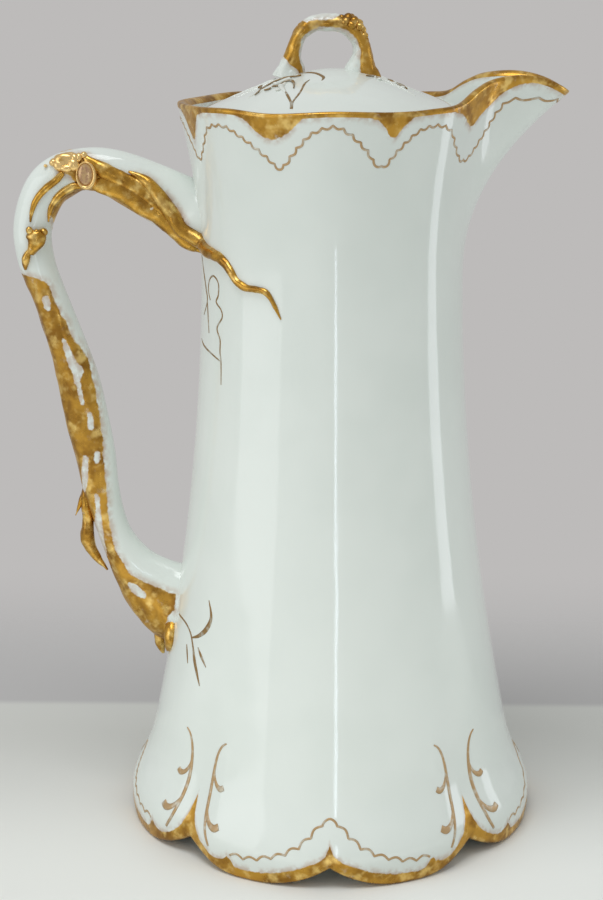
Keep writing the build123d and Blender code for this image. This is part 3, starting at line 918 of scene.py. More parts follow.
class POT_OT_handle(bpy.types.Operator):
    """Branch-shaped limb of the handle with bark under its gold"""

    bl_idname = "pot.handle"
    bl_label = "Handle limb"

    def execute(self, context):
        bark = context.scene.pot_sizes.bark / MM
        bm = bmesh.new()
        gilt = bm.verts.layers.float.new("gilt")
        sweep(bm, through(upright_spots(HANDLE_PATH)), HANDLE_SEGMENTS)
        close_shape(bm)
        for vert in bm.verts:
            x, y, z = vert.co
            vert[gilt] = handle_gold(x, z)
            share = min(1.0, max(0.0, vert[gilt] / BARK_EDGE - 0.1))
            ridges = noise.noise(Vector((x / 2.6, y / 2.6, z / 9.0)))
            knots = noise.noise(Vector((x / 6.0 + 20, y / 6.0, z / 6.0)))
            vert.co += vert.normal * bark * share * (1.1 * ridges + 0.7 * knots - 0.2)
        draw_back(bm, "pot")
        finish_piece(bm, "handle_limb", "pot", glazed_porcelain(True), ["handle"])
        return {"FINISHED"}


# Relief over the limb: (x, z, width, depth)
BRANCH_LOWER = (
    (-71.0, 196.4, 2.4, 2.2), (-68.5, 196.6, 5.0, 3.2), (-64.8, 196.0, 6.2, 3.8),
    (-60.5, 193.9, 6.6, 4.2), (-56.1, 191.2, 6.8, 4.6), (-51.8, 188.3, 6.4, 4.9),
    (-48.0, 185.0, 5.8, 5.2), (-44.4, 181.4, 5.0, 5.3), (-41.4, 178.6, 3.6, 4.6),
    (-38.6, 176.8, 1.4, 2.4),
)
BRANCH_UPPER = (
    (-72.6, 204.4, 1.6, 1.6), (-70.0, 202.4, 3.8, 2.6), (-66.0, 199.9, 4.8, 3.2),
    (-61.0, 197.7, 4.8, 3.4), (-57.0, 195.8, 4.8, 3.5), (-53.6, 192.9, 4.6, 3.6),
    (-50.4, 189.6, 4.2, 3.6), (-47.0, 186.2, 3.6, 3.4), (-44.0, 183.0, 1.8, 2.2),
)
KNOT_TWIGS = (
    ((-78.6, 199.8, 1.6, 2.0), (-80.8, 197.6, 2.2, 2.4), (-83.6, 195.4, 2.2, 2.4),
     (-85.9, 193.1, 2.0, 2.2), (-87.5, 190.4, 1.7, 1.8), (-88.3, 188.0, 1.2, 1.3),
     (-88.7, 185.4, 0.5, 0.6)),
    ((-72.6, 195.4, 1.8, 2.2), (-75.2, 195.9, 2.4, 2.6), (-77.5, 194.9, 2.6, 2.8),
     (-80.0, 193.1, 2.4, 2.6), (-81.8, 190.9, 2.1, 2.2), (-83.0, 188.4, 1.7, 1.8),
     (-83.7, 185.2, 0.6, 0.7)),
)
# Ridge that starts on the limb and runs on to the wall as a root tendril
ROOT_ON_LIMB = (
    (-59.4, 200.2, 0.5, 0.8), (-57.2, 199.2, 2.0, 2.2), (-54.4, 197.4, 3.4, 3.2),
    (-50.9, 193.6, 4.4, 4.0), (-48.6, 190.2, 4.6, 4.4), (-46.3, 186.8, 4.6, 4.6),
    (-43.8, 183.4, 4.4, 4.8),
)
ROOT_ON_WALL = (                # degrees round from the front, height, width, depth
    (-76.0, 180.0, 4.2, 4.6), (-67.0, 178.4, 3.8, 4.0), (-60.0, 178.0, 3.4, 3.4),
    (-54.5, 177.4, 3.0, 3.0), (-50.0, 176.0, 2.8, 2.7), (-46.6, 173.8, 2.5, 2.4),
    (-43.6, 171.6, 2.3, 2.2), (-39.0, 170.4, 2.1, 2.0), (-34.0, 170.2, 1.9, 1.8),
    (-29.4, 169.8, 1.7, 1.6), (-26.4, 168.2, 1.5, 1.4), (-24.0, 165.6, 1.2, 1.2),
    (-21.4, 162.2, 0.4, 0.5),
)


class POT_OT_branch(bpy.types.Operator):
    """Gilded branch over the handle's upper limb"""

    bl_idname = "pot.branch"
    bl_label = "Handle branch"

    def execute(self, context):
        bm = bmesh.new()
        for side in SIDES:
            for points in (BRANCH_LOWER, BRANCH_UPPER):
                sweep(bm, through(limb_spots(smooth_path(points), 0.6), side), 24)
        bumps = ((0.4, 4.0), (0.12, 1.6))
        finish_relief(bm, "gilded_branch", "pot", worn_gilding(), ["handle_branch"], bumps)
        return {"FINISHED"}


class POT_OT_tendril(bpy.types.Operator):
    """Root tendril that runs from the branch on to the wall"""

    bl_idname = "pot.tendril"
    bl_label = "Wall tendril"

    def execute(self, context):
        spots = smooth_path(limb_spots(ROOT_ON_LIMB, 0.4) + wall_spots(ROOT_ON_WALL, 0.2))
        bm = bmesh.new()
        for side in SIDES:
            sweep(bm, through(spots, side), 24)
        bumps = ((0.25, 3.0),)
        finish_relief(bm, "gilded_tendril", "pot", worn_gilding(), ["body_tendril"], bumps)
        return {"FINISHED"}


class POT_OT_knots(bpy.types.Operator):
    """Rosette knot, cut branch end, their twigs and the bud on the handle's bend"""

    bl_idname = "pot.knots"
    bl_label = "Knots and bud"

    rosette = (                 # x, z, width, depth, height of its lobes
        (-77.7, 202.9, 6.6, 3.2, 5.2), (-79.4, 201.9, 4.0, 3.0, 3.4), (-77.4, 201.2, 4.2, 3.2, 2.8),
        (-75.6, 202.1, 3.8, 3.2, 3.8), (-75.0, 203.8, 2.8, 3.0, 3.2), (-77.0, 204.5, 4.4, 2.8, 2.4),
        (-79.6, 203.8, 3.2, 2.6, 2.6), (-81.6, 202.7, 2.6, 2.6, 2.3), (-83.9, 201.7, 1.3, 1.6, 1.2),
        (-73.9, 204.1, 2.0, 2.8, 3.0), (-72.6, 204.8, 2.0, 2.6, 2.4),
    )
    cut_end = (-71.9, 199.3)
    cut_size = (5.3, 7.4)
    bud_body = (
        (-87.2, 183.2, 3.4, 2.2), (-87.1, 181.6, 5.8, 4.0), (-87.2, 179.8, 5.4, 4.2),
        (-88.0, 177.8, 3.6, 3.4), (-88.9, 176.0, 2.0, 2.4),
    )
    bud_knobs = ((-88.9, 183.0, 2.3), (-85.0, 182.3, 2.4), (-86.9, 182.6, 2.0))
    bud_tail = (
        (-89.2, 177.2, 1.2, 1.6), (-90.1, 175.2, 2.4, 2.4), (-90.6, 173.4, 2.3, 2.2),
        (-90.8, 171.2, 0.7, 0.9),
    )

    def execute(self, context):
        self.make_rosette()
        self.make_cut_end()
        self.make_bud()
        self.make_twigs()
        return {"FINISHED"}

    def make_rosette(self):
        bm = bmesh.new()
        for side in SIDES:
            for x, z, width, depth, height in self.rosette:
                bead(bm, (x, -side * (handle_face(x, z) + 0.6), z), (width, depth, height), 24)
        finish_relief(bm, "rosette_knot", "pot", worn_gilding(True), ["top_knot"], ((0.3, 2.4),))

    def make_cut_end(self):
        rim, face = bmesh.new(), bmesh.new()
        x, z = self.cut_end
        width, height = self.cut_size
        turns = [FULL_TURN * share for share in shares(32)]
        for side in SIDES:
            y = -side * (handle_face(x, z) + 0.7)
            ring = [
                Vector((x + cos(turn) * width / 2, y, z + sin(turn) * height / 2))
                for turn in turns
            ]
            frames = []
            for index, turn in enumerate(turns):
                along = ring[(index + 1) % len(ring)] - ring[index - 1]
                thick = 1.0 + 0.5 * cos(turn + 0.8)
                frames.append(oval(ring[index], along, (0, 1, 0), thick, thick * 2))
            sweep(rim, frames, 16, closed=True)
            bead(face, (x, y + side * 0.2, z), (width - 0.2, 2.2, height - 0.2), 24)
        finish_relief(rim, "cut_branch_rim", "pot", worn_gilding(True), ["cut_branch"])
        finish_relief(face, "cut_branch_face", "pot", gold_wash())

    def make_bud(self):
        bm = bmesh.new()
        for side in SIDES:
            for x, z, size in self.bud_knobs:
                bead(bm, (x, -side * (handle_face(x, z) + 1.2), z), (size, size, size), 18)
            for points in (self.bud_body, self.bud_tail):
                sweep(bm, through(limb_spots(smooth_path(points), 0.35), side), 20)
        finish_relief(bm, "gilded_bud", "pot", worn_gilding(), ["handle_bud"], ((0.22, 1.8),))

    def make_twigs(self):
        bm = bmesh.new()
        for side in SIDES:
            for points in KNOT_TWIGS:
                sweep(bm, through(limb_spots(smooth_path(points), 0.45), side), 16)
        finish_relief(bm, "knot_twigs", "pot", worn_gilding(), bumps=((0.12, 1.8),))


class POT_OT_leaves(bpy.types.Operator):
    """Hanging leaves and the thorn beside the handle and below it"""

    bl_idname = "pot.leaves"
    bl_label = "Leaves"

    strand = (                  # x, z, width, depth
        (-74.0, 106.5, 1.0, 1.6), (-75.0, 103.4, 2.2, 2.8), (-75.5, 100.2, 3.0, 3.6),
        (-75.2, 96.8, 3.5, 4.0), (-74.9, 93.4, 3.4, 4.0), (-75.1, 90.2, 3.8, 4.0),
        (-75.4, 87.2, 4.4, 4.2), (-74.6, 84.2, 3.8, 4.0), (-72.9, 81.2, 2.9, 3.4),
        (-71.1, 78.7, 1.7, 2.4), (-69.4, 76.4, 0.6, 1.0),
    )
    spur = (
        (-74.8, 104.0, 1.0, 1.8), (-76.4, 100.2, 1.5, 2.2), (-77.6, 96.8, 1.3, 1.8),
        (-78.8, 94.0, 0.4, 0.6),
    )
    hanging = (
        (-53.0, 60.0, 2.4, 3.0), (-53.4, 57.0, 3.0, 3.6), (-53.5, 54.0, 3.4, 3.8),
        (-53.1, 51.4, 2.8, 3.2), (-52.4, 49.2, 0.7, 1.0),
    )
    resting = (                 # degrees round from the front, height, width, depth
        (-85.5, 64.4, 2.4, 3.0), (-83.0, 62.0, 3.4, 3.8), (-80.4, 59.6, 4.4, 4.2),
        (-79.2, 56.8, 4.6, 3.9), (-80.2, 54.4, 3.2, 2.8), (-82.4, 52.4, 0.8, 1.0),
    )

    def execute(self, context):
        leaves = [
            (name, node, [through(upright_spots(smooth_path(points)))])
            for name, node, points in (
                ("leaf_on_limb", "leaf_strand", self.strand),
                ("thorn", "leaf_spur", self.spur),
                ("hanging_leaf", "side_leaf", self.hanging),
            )
        ]
        resting = wall_spots(smooth_path(self.resting), 0.5)
        leaves.append(("resting_leaves", "front_leaves", [through(resting, side) for side in SIDES]))
        for name, node, paths in leaves:
            bm = bmesh.new()
            for frames in paths:
                sweep(bm, frames, 20)
            finish_relief(bm, name, "pot", worn_gilding(), [node], ((0.28, 2.4),))
        return {"FINISHED"}


# ---------------------------------------------------------------- fine gilding on the wall

PAINT_LIFT = 0.02               # how far a painted stroke's middle stands off the glaze
# Fine line below the rim: degrees from the lip and height
RIM_FINE_LINE = (
    (0, 220.9), (4, 221.1), (7, 221.6), (10, 222.0), (12.5, 222.0), (14.4, 221.4), (15.6, 219.8),
    (17, 217.2), (18.2, 214.2), (20, 211.1), (22.4, 208.4), (25, 206.4), (28.5, 205.4),
    (32.4, 206.3), (36.6, 209.7), (40.5, 213.7), (45, 215.8), (50.8, 216.4), (57.3, 215.2),
    (62.9, 211.8), (66.6, 208.9), (70.6, 205.6), (74, 206.9), (76.4, 209.6), (80.2, 212.6),
    (84, 215.1), (88.4, 216.8), (92.6, 216.5), (97.9, 214.8), (101.7, 212.0), (105.6, 208.7),
    (110, 205.2), (114.4, 207.6), (119.4, 210.5), (125.4, 213.5), (131.8, 215.9), (138.9, 216.0),
    (143.9, 214.4), (148, 210.6), (154.8, 205.5), (160, 208.6), (166, 212.9), (172, 215.4),
    (180, 216.2),
)
# Fine line above the foot: degrees from the middle of a panel and height
FOOT_FINE_LINE = (
    (0, 19.0), (1.7, 18.5), (3.2, 16.9), (5.2, 14.9), (7, 13.1), (9, 11.6), (11.3, 10.3),
    (13.2, 9.3), (15.5, 8.5), (18, 7.7), (21, 6.9), (24, 6.6), (28.2, 6.8),
)
# Scrolls beside a crease: degrees from it, height and width
SCROLL = (
    (9.6, 36.8, 0.5), (7.9, 35.6, 0.7), (6.4, 33.0, 0.9), (5.5, 29.0, 1.1), (5.2, 23.0, 1.3),
    (5.7, 17.0, 1.3), (7.0, 11.4, 1.1), (9.0, 7.2, 0.9),
)
SCROLL_CURLS = (
    ((5.4, 29.0, 0.6), (5.9, 26.2, 0.9), (7.4, 24.0, 1.3), (9.2, 23.3, 1.9), (10.5, 24.0, 1.8)),
    ((5.3, 19.4, 0.6), (6.2, 16.0, 1.0), (8.1, 13.6, 1.6), (10.3, 12.8, 2.3), (11.9, 13.7, 2.2)),
)
SPRAY_LINES = (                 # thin tendrils under the handle: degrees, height and width
    ((-79.0, 176.0, 0.7), (-75.5, 172.0, 0.8), (-71.5, 167.5, 1.1), (-69.0, 163.6, 0.7),
     (-73.8, 159.0, 0.4)),
    ((-69.0, 163.8, 0.6), (-67.6, 159.0, 0.8), (-65.9, 154.4, 0.4)),
    ((-65.2, 164.2, 0.5), (-67.7, 166.9, 0.6), (-66.3, 170.0, 0.6), (-61.8, 171.6, 0.6),
     (-57.2, 170.0, 0.6), (-57.2, 166.5, 0.7), (-59.0, 164.3, 0.7), (-54.7, 162.4, 0.6),
     (-53.9, 160.2, 0.6), (-57.9, 156.8, 0.7), (-55.2, 153.6, 0.7), (-55.0, 150.1, 0.6),
     (-54.0, 147.3, 0.6), (-53.4, 140.6, 0.3)),
    ((-78.0, 151.2, 0.4), (-72.6, 149.9, 0.7), (-63.1, 148.8, 0.6), (-54.8, 147.5, 0.4)),
)
LOWER_LINES = (                 # tendril and leaves below the handle's lower end
    ((-74.0, 66.6, 0.6), (-66.0, 66.3, 0.7), (-60.6, 64.4, 0.8), (-57.6, 60.9, 0.9),
     (-55.6, 57.2, 1.4), (-53.6, 54.2, 1.2), (-51.2, 50.4, 0.4)),
    ((-58.8, 63.4, 0.5), (-54.6, 65.0, 1.2), (-50.6, 68.0, 1.7), (-48.7, 72.0, 1.2),
     (-50.8, 76.6, 0.4)),
    ((-62.2, 60.4, 0.4), (-61.0, 58.0, 0.9), (-59.6, 55.2, 0.3)),
    ((-54.4, 61.4, 0.4), (-52.0, 59.2, 1.1), (-48.9, 56.6, 0.3)),
)


def brush(bm, points, height, side=FRONT, segments=8, closed=False):
    """Brush stroke on the wall along (degrees round from the front, height, width)."""
    placed = [(turn, level, width, min(height, width * 0.7)) for turn, level, width in points]
    sweep(bm, through(wall_spots(placed, PAINT_LIFT), side), segments, closed)


def brush_on_dome(bm, points, height, lift=PAINT_LIFT):
    """Brush stroke on the lid's dome along (x, y, width)."""
    placed = [(x, y, width, height) for x, y, width in smooth_path(points)]
    sweep(bm, through(dome_spots(placed, lift)), 8)


def scalloped(line, pitch, height, closed):
    """Bulges a line of (degrees round from the front, height) points out in small scallops.

    Their number is odd, so that one stands in the middle of the line.
    """
    width = bpy.context.scene.pot_sizes.line_width / MM
    flat = [Vector((radians(turn) * panel_radius(level), level)) for turn, level in line]
    gone = [0.0]
    for first, last in zip(flat, flat[1:]):
        gone.append(gone[-1] + (last - first).length)
    count = 2 * round((gone[-1] / pitch - 1) / 2) + 1
    made, last = [], len(line) - 1
    for index, (turn, level) in enumerate(line):
        run = flat[min(index + 1, last)] - flat[max(index - 1, 0)]
        if closed and index in (0, last):
            across = flat[1].x - flat[0].x + flat[-1].x - flat[-2].x
            run = Vector((across, flat[1].y - flat[-2].y))
        away = Vector((run.y, -run.x)).normalized()
        rise = height * abs(sin(pi * count * gone[index] / gone[-1]))
        turned = degrees(away.x * rise / panel_radius(level))
        made.append((turn + turned, level + away.y * rise, width))
    return made[:-1] if closed else made


class POT_OT_lines(bpy.types.Operator):
    """Fine scalloped gold lines below the rim and above the foot"""

    bl_idname = "pot.lines"
    bl_label = "Fine gold lines"

    def execute(self, context):
        sizes = context.scene.pot_sizes
        height = sizes.line_height / MM
        bm = bmesh.new()
        line = smooth_path(RIM_FINE_LINE, 14)
        round_it = [(90 - angle, z) for angle, z in reversed(line)]
        round_it += [(90 + angle, z) for angle, z in line[1:]]
        line = scalloped(round_it, sizes.scallop_pitch / MM, sizes.scallop / MM, True)
        brush(bm, line, height, closed=True)
        finish_relief(bm, "rim_gold_line", "pot", brushed_gold("line"))
        bm = bmesh.new()
        arch = smooth_path(FOOT_FINE_LINE, 12)
        for panel in range(PANEL_COUNT):
            middle = panel * PANEL_TURN
            line = [(middle + turn, level) for turn, level in reversed(arch[1:])]
            line += [(middle - turn, level) for turn, level in arch]
            line = scalloped(line, sizes.foot_pitch / MM, sizes.foot_scallop / MM, False)
            brush(bm, line, height)
        finish_relief(bm, "foot_gold_line", "pot", brushed_gold("line"))
        return {"FINISHED"}


class POT_OT_scrolls(bpy.types.Operator):
    """Gold scrolls beside the four creases of the skirt"""

    bl_idname = "pot.scrolls"
    bl_label = "Skirt scrolls"

    def execute(self, context):
        height = context.scene.pot_sizes.line_height / MM * 1.6
        bm = bmesh.new()
        for crease in range(PANEL_COUNT):
            middle = (crease + 0.5) * PANEL_TURN
            for hand in (1, -1):
                for stroke in (SCROLL, *SCROLL_CURLS):
                    points = [(middle + hand * turn, z, width) for turn, z, width in stroke]
                    brush(bm, smooth_path(points), height, segments=10)
        finish_relief(bm, "skirt_scrolls", "pot", brushed_gold("line"))
        return {"FINISHED"}


class POT_OT_sprays(bpy.types.Operator):
    """Thin painted tendrils and leaves on the wall beside the handle"""

    bl_idname = "pot.sprays"
    bl_label = "Painted sprays"

    def execute(self, context):
        height = context.scene.pot_sizes.line_height / MM * 0.8
        for name, strokes in (("upper_spray", SPRAY_LINES), ("lower_spray", LOWER_LINES)):
            bm = bmesh.new()
            for side in SIDES:
                for points in strokes:
                    brush(bm, smooth_path(points), height, side)
            finish_relief(bm, name, "pot", brushed_gold("spray"))
        return {"FINISHED"}


# ---------------------------------------------------------------- the lid

LID_COLUMNS = 192
LOOP_SECTIONS = (               # x, height above the dome's top, width
    (-12.6, -3.2, 10.2), (-12.0, -0.4, 8.4), (-11.8, 1.9, 6.4), (-11.4, 4.3, 4.6),
    (-10.8, 6.6, 4.2), (-9.7, 9.3, 4.1), (-7.9, 11.3, 4.6), (-5.4, 12.6, 4.8), (-2.0, 12.95, 4.9),
    (1.9, 12.7, 5.0), (5.0, 11.2, 4.9), (7.2, 8.5, 4.7), (8.2, 6.3, 5.1), (8.6, 4.0, 6.0),
    (8.4, 1.8, 7.6), (8.2, -0.4, 9.8), (8.4, -3.2, 11.6),
)
LOOP_DEPTH = 6.4
LOOP_WHITE_INSIDE = (           # share of the way along the loop, bare width at its inner side
    (0, 0.5), (0.25, 0.8), (0.45, 1.1), (0.6, 1.5), (0.75, 1.9), (0.85, 2.8), (0.93, 4.4), (1, 6.0),
)
LOOP_WHITE_OUTSIDE_AND_TOP_HIGHLIGHT = (          # the same at its outer side: bare glaze at the left foot, and from 0.4 to 0.54 a bare white patch on the loop's top that is a painted highlight
    (0, 9), (0.06, 6.5), (0.1, 3.4), (0.15, 0.3), (0.2, -2), (0.36, -2), (0.4, 1.0), (0.46, 1.7),
    (0.54, 1.4), (0.58, -2), (1, -2),
)
BLOSSOM = (                     # x, y, height and size of its knobs
    (2.6, -1.4, 243.6, 2.4), (3.6, -2.4, 242.8, 2.6), (4.4, -0.8, 243.7, 3.0),
    (5.0, 0.8, 243.8, 2.6), (6.1, -1.4, 243.0, 2.8), (7.2, -0.2, 242.4, 2.8),
    (5.4, -2.5, 241.9, 2.8), (7.6, -1.8, 241.3, 2.6), (8.4, -0.4, 240.4, 2.5),
    (8.9, -1.2, 238.9, 2.3), (9.4, -0.6, 237.4, 2.1), (6.8, 1.6, 242.2, 2.7),
    (3.6, 1.8, 242.9, 2.6), (-9.1, -0.8, 241.5, 2.4),
)
# Sprays on the dome: white twigs and their buds, with thin gold lines along them
LEFT_TWIGS = (                  # x, y, width, depth
    ((-12.4, -6.4, 1.6, 1.2), (-15.4, -8.2, 1.8, 1.4), (-18.2, -9.8, 1.5, 1.1),
     (-21.4, -11.8, 1.0, 0.8), (-24.4, -14.2, 0.4, 0.4)),
    ((-13.6, -10.6, 1.4, 1.0), (-14.6, -13.6, 1.6, 1.2), (-13.8, -16.6, 1.2, 0.9),
     (-13.4, -18.6, 0.4, 0.4)),
    ((-15.4, -3.6, 1.6, 1.3), (-19.4, -4.4, 1.4, 1.1), (-23.4, -5.6, 1.0, 0.8),
     (-28.0, -7.0, 0.4, 0.4)),
    ((-16.4, 0.4, 1.6, 1.3), (-21.0, 0.6, 1.3, 1.0), (-26.0, 0.2, 0.9, 0.7),
     (-31.0, 0.0, 0.4, 0.4)),
)
RIGHT_TWIGS = (
    ((12.0, -5.0, 1.5, 1.2), (15.0, -5.6, 1.7, 1.3), (18.0, -7.2, 1.4, 1.1),
     (21.0, -9.4, 1.0, 0.8), (23.6, -12.2, 0.4, 0.4)),
    ((14.0, -2.0, 1.6, 1.2), (17.6, -2.8, 1.5, 1.2), (21.4, -3.8, 1.1, 0.9),
     (26.0, -4.8, 0.4, 0.4)),
)
LEFT_BUDS = (                   # x, y and size
    (-16.2, -9.4, 2.0), (-14.6, -13.0, 1.9), (-15.4, -15.6, 1.6), (-17.8, -11.6, 1.6),
    (-13.6, -8.2, 1.8), (-19.6, -8.2, 1.5),
)
RIGHT_BUDS = ((15.0, -4.6, 1.9), (17.6, -6.2, 1.8), (20.0, -7.6, 1.6), (13.4, -6.6, 1.5))
LEFT_GOLD = (                   # x, y, width of the thin lines
    ((-22.0, -14.2, 0.3), (-20.2, -10.2, 0.6), (-17.8, -6.4, 0.7), (-14.8, -4.6, 0.7),
     (-13.0, -5.0, 0.8), (-10.4, -7.0, 0.6), (-9.0, -7.0, 0.4)),
    ((-19.4, -12.4, 0.3), (-18.2, -12.8, 0.6), (-17.0, -11.2, 0.5), (-15.4, -12.0, 0.6),
     (-14.2, -10.2, 0.5), (-12.6, -9.6, 0.9), (-11.6, -10.8, 1.0), (-10.9, -14.0, 0.6),
     (-11.0, -17.2, 0.3)),
    ((-21.4, -6.4, 0.3), (-20.4, -5.2, 0.6), (-20.8, -8.2, 0.4)),
)
RIGHT_GOLD = (
    ((9.6, -7.0, 0.4), (12.0, -4.8, 0.8), (13.2, -5.8, 0.9), (15.4, -3.6, 0.9), (17.0, -3.2, 0.7),
     (17.9, -4.8, 0.9), (19.8, -4.2, 0.7), (21.2, -8.0, 0.4)),
    ((16.4, -5.0, 0.4), (18.4, -5.6, 0.9), (19.6, -6.6, 0.5)),
)
LID_LINES = (                   # brushed lines on the dome: x, y, width
    ((-9.8, -3.0, 1.7), (-7.8, -3.8, 1.5), (-5.2, -6.6, 1.2), (-3.4, -9.6, 1.1),
     (-2.6, -11.8, 0.9), (-3.1, -13.9, 0.3)),
    ((-13.4, -17.8, 0.4), (-12.7, -21.0, 0.8), (-11.6, -26.4, 0.7), (-11.4, -30.2, 0.9),
     (-11.1, -26.2, 0.6), (-9.6, -21.9, 0.7), (-8.7, -18.6, 0.6), (-7.9, -14.8, 0.7),
     (-6.6, -12.4, 0.3)),
)


def lid_profile():
    """Dome, rolled edge, flange and hollow underside."""
    outer = [(LID_RADIUS - 0.35) * share for share in (*shares(40), 1.0)]
    profile = [(radius, dome_height(radius)) for radius in outer]
    edge = LID_SEAT + LID_EDGE
    profile += [(LID_RADIUS - 0.1, edge - 0.15), (LID_RADIUS, edge - 0.5)]
    profile += [(LID_RADIUS, LID_SEAT + 0.4), (LID_RADIUS - 0.12, LID_SEAT + 0.12)]
    profile += [(LID_RADIUS - 0.4, LID_SEAT), (FLANGE_RADIUS + 0.3, LID_SEAT)]
    profile += [(FLANGE_RADIUS, LID_SEAT - 0.3), (FLANGE_RADIUS, FLANGE_BOTTOM + 0.8)]
    profile += [(FLANGE_RADIUS - 0.3, FLANGE_BOTTOM + 0.2), (FLANGE_RADIUS - 0.9, FLANGE_BOTTOM)]
    profile += [(FLANGE_BORE + 0.9, FLANGE_BOTTOM), (FLANGE_BORE + 0.3, FLANGE_BOTTOM + 0.2)]
    profile += [(FLANGE_BORE, FLANGE_BOTTOM + 0.8), (FLANGE_BORE, LID_SEAT - 1.5)]
    inner = [FLANGE_BORE * (1 - index / 16) for index in range(17)]
    return profile + [(radius, dome_height(radius, LID_WALL)) for radius in inner]


class POT_OT_lid(bpy.types.Operator):
    """Domed lid with its flange and the fine lines brushed on it"""

    bl_idname = "pot.lid"
    bl_label = "Lid"

    def execute(self, context):
        bm = bmesh.new()
        spin(bm, lid_profile(), LID_COLUMNS)
        close_shape(bm)
        finish_piece(bm, "lid_dome", "lid", glazed_porcelain(False), ["lid"])
        bm = bmesh.new()
        for points in LID_LINES:
            brush_on_dome(bm, points, context.scene.pot_sizes.line_height / MM)
        finish_relief(bm, "lid_lines", "lid", brushed_gold("spray"))
        return {"FINISHED"}


class POT_OT_loop(bpy.types.Operator):
    """Twig loop that the lid is lifted by, and the flower on it"""

    bl_idname = "pot.loop"
    bl_label = "Lid loop"

    def execute(self, context):
        bm = bmesh.new()
        gilt = bm.verts.layers.float.new("gilt")
        sections = [(x, DOME_TOP + rise, width, LOOP_DEPTH) for x, rise, width in LOOP_SECTIONS]
        points = smooth_path(sections, 10)
        sweep(bm, through(upright_spots(points)), 40)
        across, along = bm.verts.layers.float["across"], bm.verts.layers.float["along"]
        for vert in bm.verts:
            width = points[round(vert[along] * (len(points) - 1))][2]
            inner = (1 - vert[across]) * width / 2
            inner -= table_value(LOOP_WHITE_INSIDE, vert[along])
            outer = (1 + vert[across]) * width / 2
            # the outer table leaves a white patch on the loop's top as a painted highlight
            vert[gilt] = min(inner, outer - table_value(LOOP_WHITE_OUTSIDE_AND_TOP_HIGHLIGHT, vert[along]))
        bumps = ((0.3, 3.2), (0.08, 1.2))
        finish_relief(bm, "twig_loop", "lid", glazed_porcelain(True), ["lid_loop"], bumps)
        bm = bmesh.new()
        for x, y, z, size in BLOSSOM:
            bead(bm, (x, y, z), (size, size, size))
        finish_relief(bm, "loop_blossom", "lid", worn_gilding(), ["loop_flower"], ((0.3, 1.6),))
        return {"FINISHED"}


class POT_OT_lid_sprays(bpy.types.Operator):
    """Knobbly twig relief at the loop's feet"""

    bl_idname = "pot.lid_sprays"
    bl_label = "Lid sprays"

    def execute(self, context):
        height = context.scene.pot_sizes.line_height / MM * 2
        for name, twigs, buds, lines, node in (
            ("left_lid_spray", LEFT_TWIGS, LEFT_BUDS, LEFT_GOLD, "lid_spray_left"),
            ("right_lid_spray", RIGHT_TWIGS, RIGHT_BUDS, RIGHT_GOLD, "lid_spray_right"),
        ):
            bm = bmesh.new()
            gilt = bm.verts.layers.float.new("gilt")
            for points in twigs:
                sweep(bm, through(dome_spots(smooth_path(points), -0.1)), 20)
            for x, y, size in buds:
                centre = (x, y, dome_height(hypot(x, y)) + size * 0.1)
                bead(bm, centre, (size, size, size * 0.6))
            for vert in bm.verts:
                vert[gilt] = BESIDE_GOLD
            finish_relief(bm, name, "lid", glazed_porcelain(True), [node], ((0.12, 2.2),))
            bm = bmesh.new()
            for points in lines:
                brush_on_dome(bm, points, height, 0.3)
            finish_relief(bm, name + "_gold", "lid", brushed_gold("spray"))
        return {"FINISHED"}


# ---------------------------------------------------------------- the stage

FLOOR_RADIUS = 3.0
BACKDROP_PLACE = 0.08           # metres behind the pot's axis
WORLD_LIGHT, WORLD_STRENGTH = "#f4f6f6", 0.52
# Soft boxes, in metres: name, place, what it faces, width and height, power and colour.
# The low box lies on the floor and faces up, as pale paper throws light back. The two strips
# draw the long reflections down the wall.
LAMPS = (
    ("key_box", (-0.25, -0.45, 1.5), (0, 0, 0.13), (0.9, 0.6), 8.5, "#fbfdff"),
    ("left_box", (-0.95, -0.5, 0.35), (0, 0, 0.13), (0.8, 0.8), 2.5, "#fbfdff"),
    ("low_box", (0.0, -0.16, 0.004), (0, -0.16, 1), (0.5, 0.17), 0.13, "#fffefa"),
    ("front_strip", (0.045, -0.66, 0.13), (0.045, 0, 0.13), (0.02, 0.245), 0.12, "#e4f0ff"),
    ("right_strip", (0.46, 0.03, 0.15), (0, 0, 0.15), (0.1, 0.3), 0.24, "#f4f8ff"),
)


def floor_paper():
    """Matt paper, palest in front of the pot, that clears to the backdrop's colour behind it.

    It darkens as painted shade under the pot, from front to back, turns to the backdrop's colour
    where that stands, and is clear from there and far from the pot, so that the world shows. Its
    distances are in metres.
    """
    colours = bpy.context.scene.pot_colours
    material, add, place = new_material("matt_paper")
    back = add("SeparateXYZ", (place,), output="Y")
    # painted shade: the paper darkens from 6 cm in front of the pot's axis to 6 cm behind it
    painted_shade = add("MapRange", (back, -0.06, 0.06), **SMOOTH)
    colour = add("Mix", (painted_shade, colours.floor_near, colours.floor_shade_behind), **IN_COLOUR)
    past = add("Math", (back, BACKDROP_PLACE), operation="SUBTRACT")
    over = add("MapRange", (past, -0.003, 0.003), **SMOOTH)
    colour = add("Mix", (over, colour, colours.backdrop), **IN_COLOUR)
    surface = {"Base Color": colour, "Roughness": 0.9, "Specular IOR Level": 0.1}
    far = add("VectorMath", (place,), operation="LENGTH")
    far = add("MapRange", (far, 0.3, 0.7), **SMOOTH)
    behind = add("MapRange", (past, 0.0, 0.16), **SMOOTH)
    clear = add("Math", (far, behind), operation="MAXIMUM")
    layers = (clear, add("BsdfPrincipled", surface), add("BsdfTransparent"))
    add("OutputMaterial", (add("MixShader", layers),))
    return material


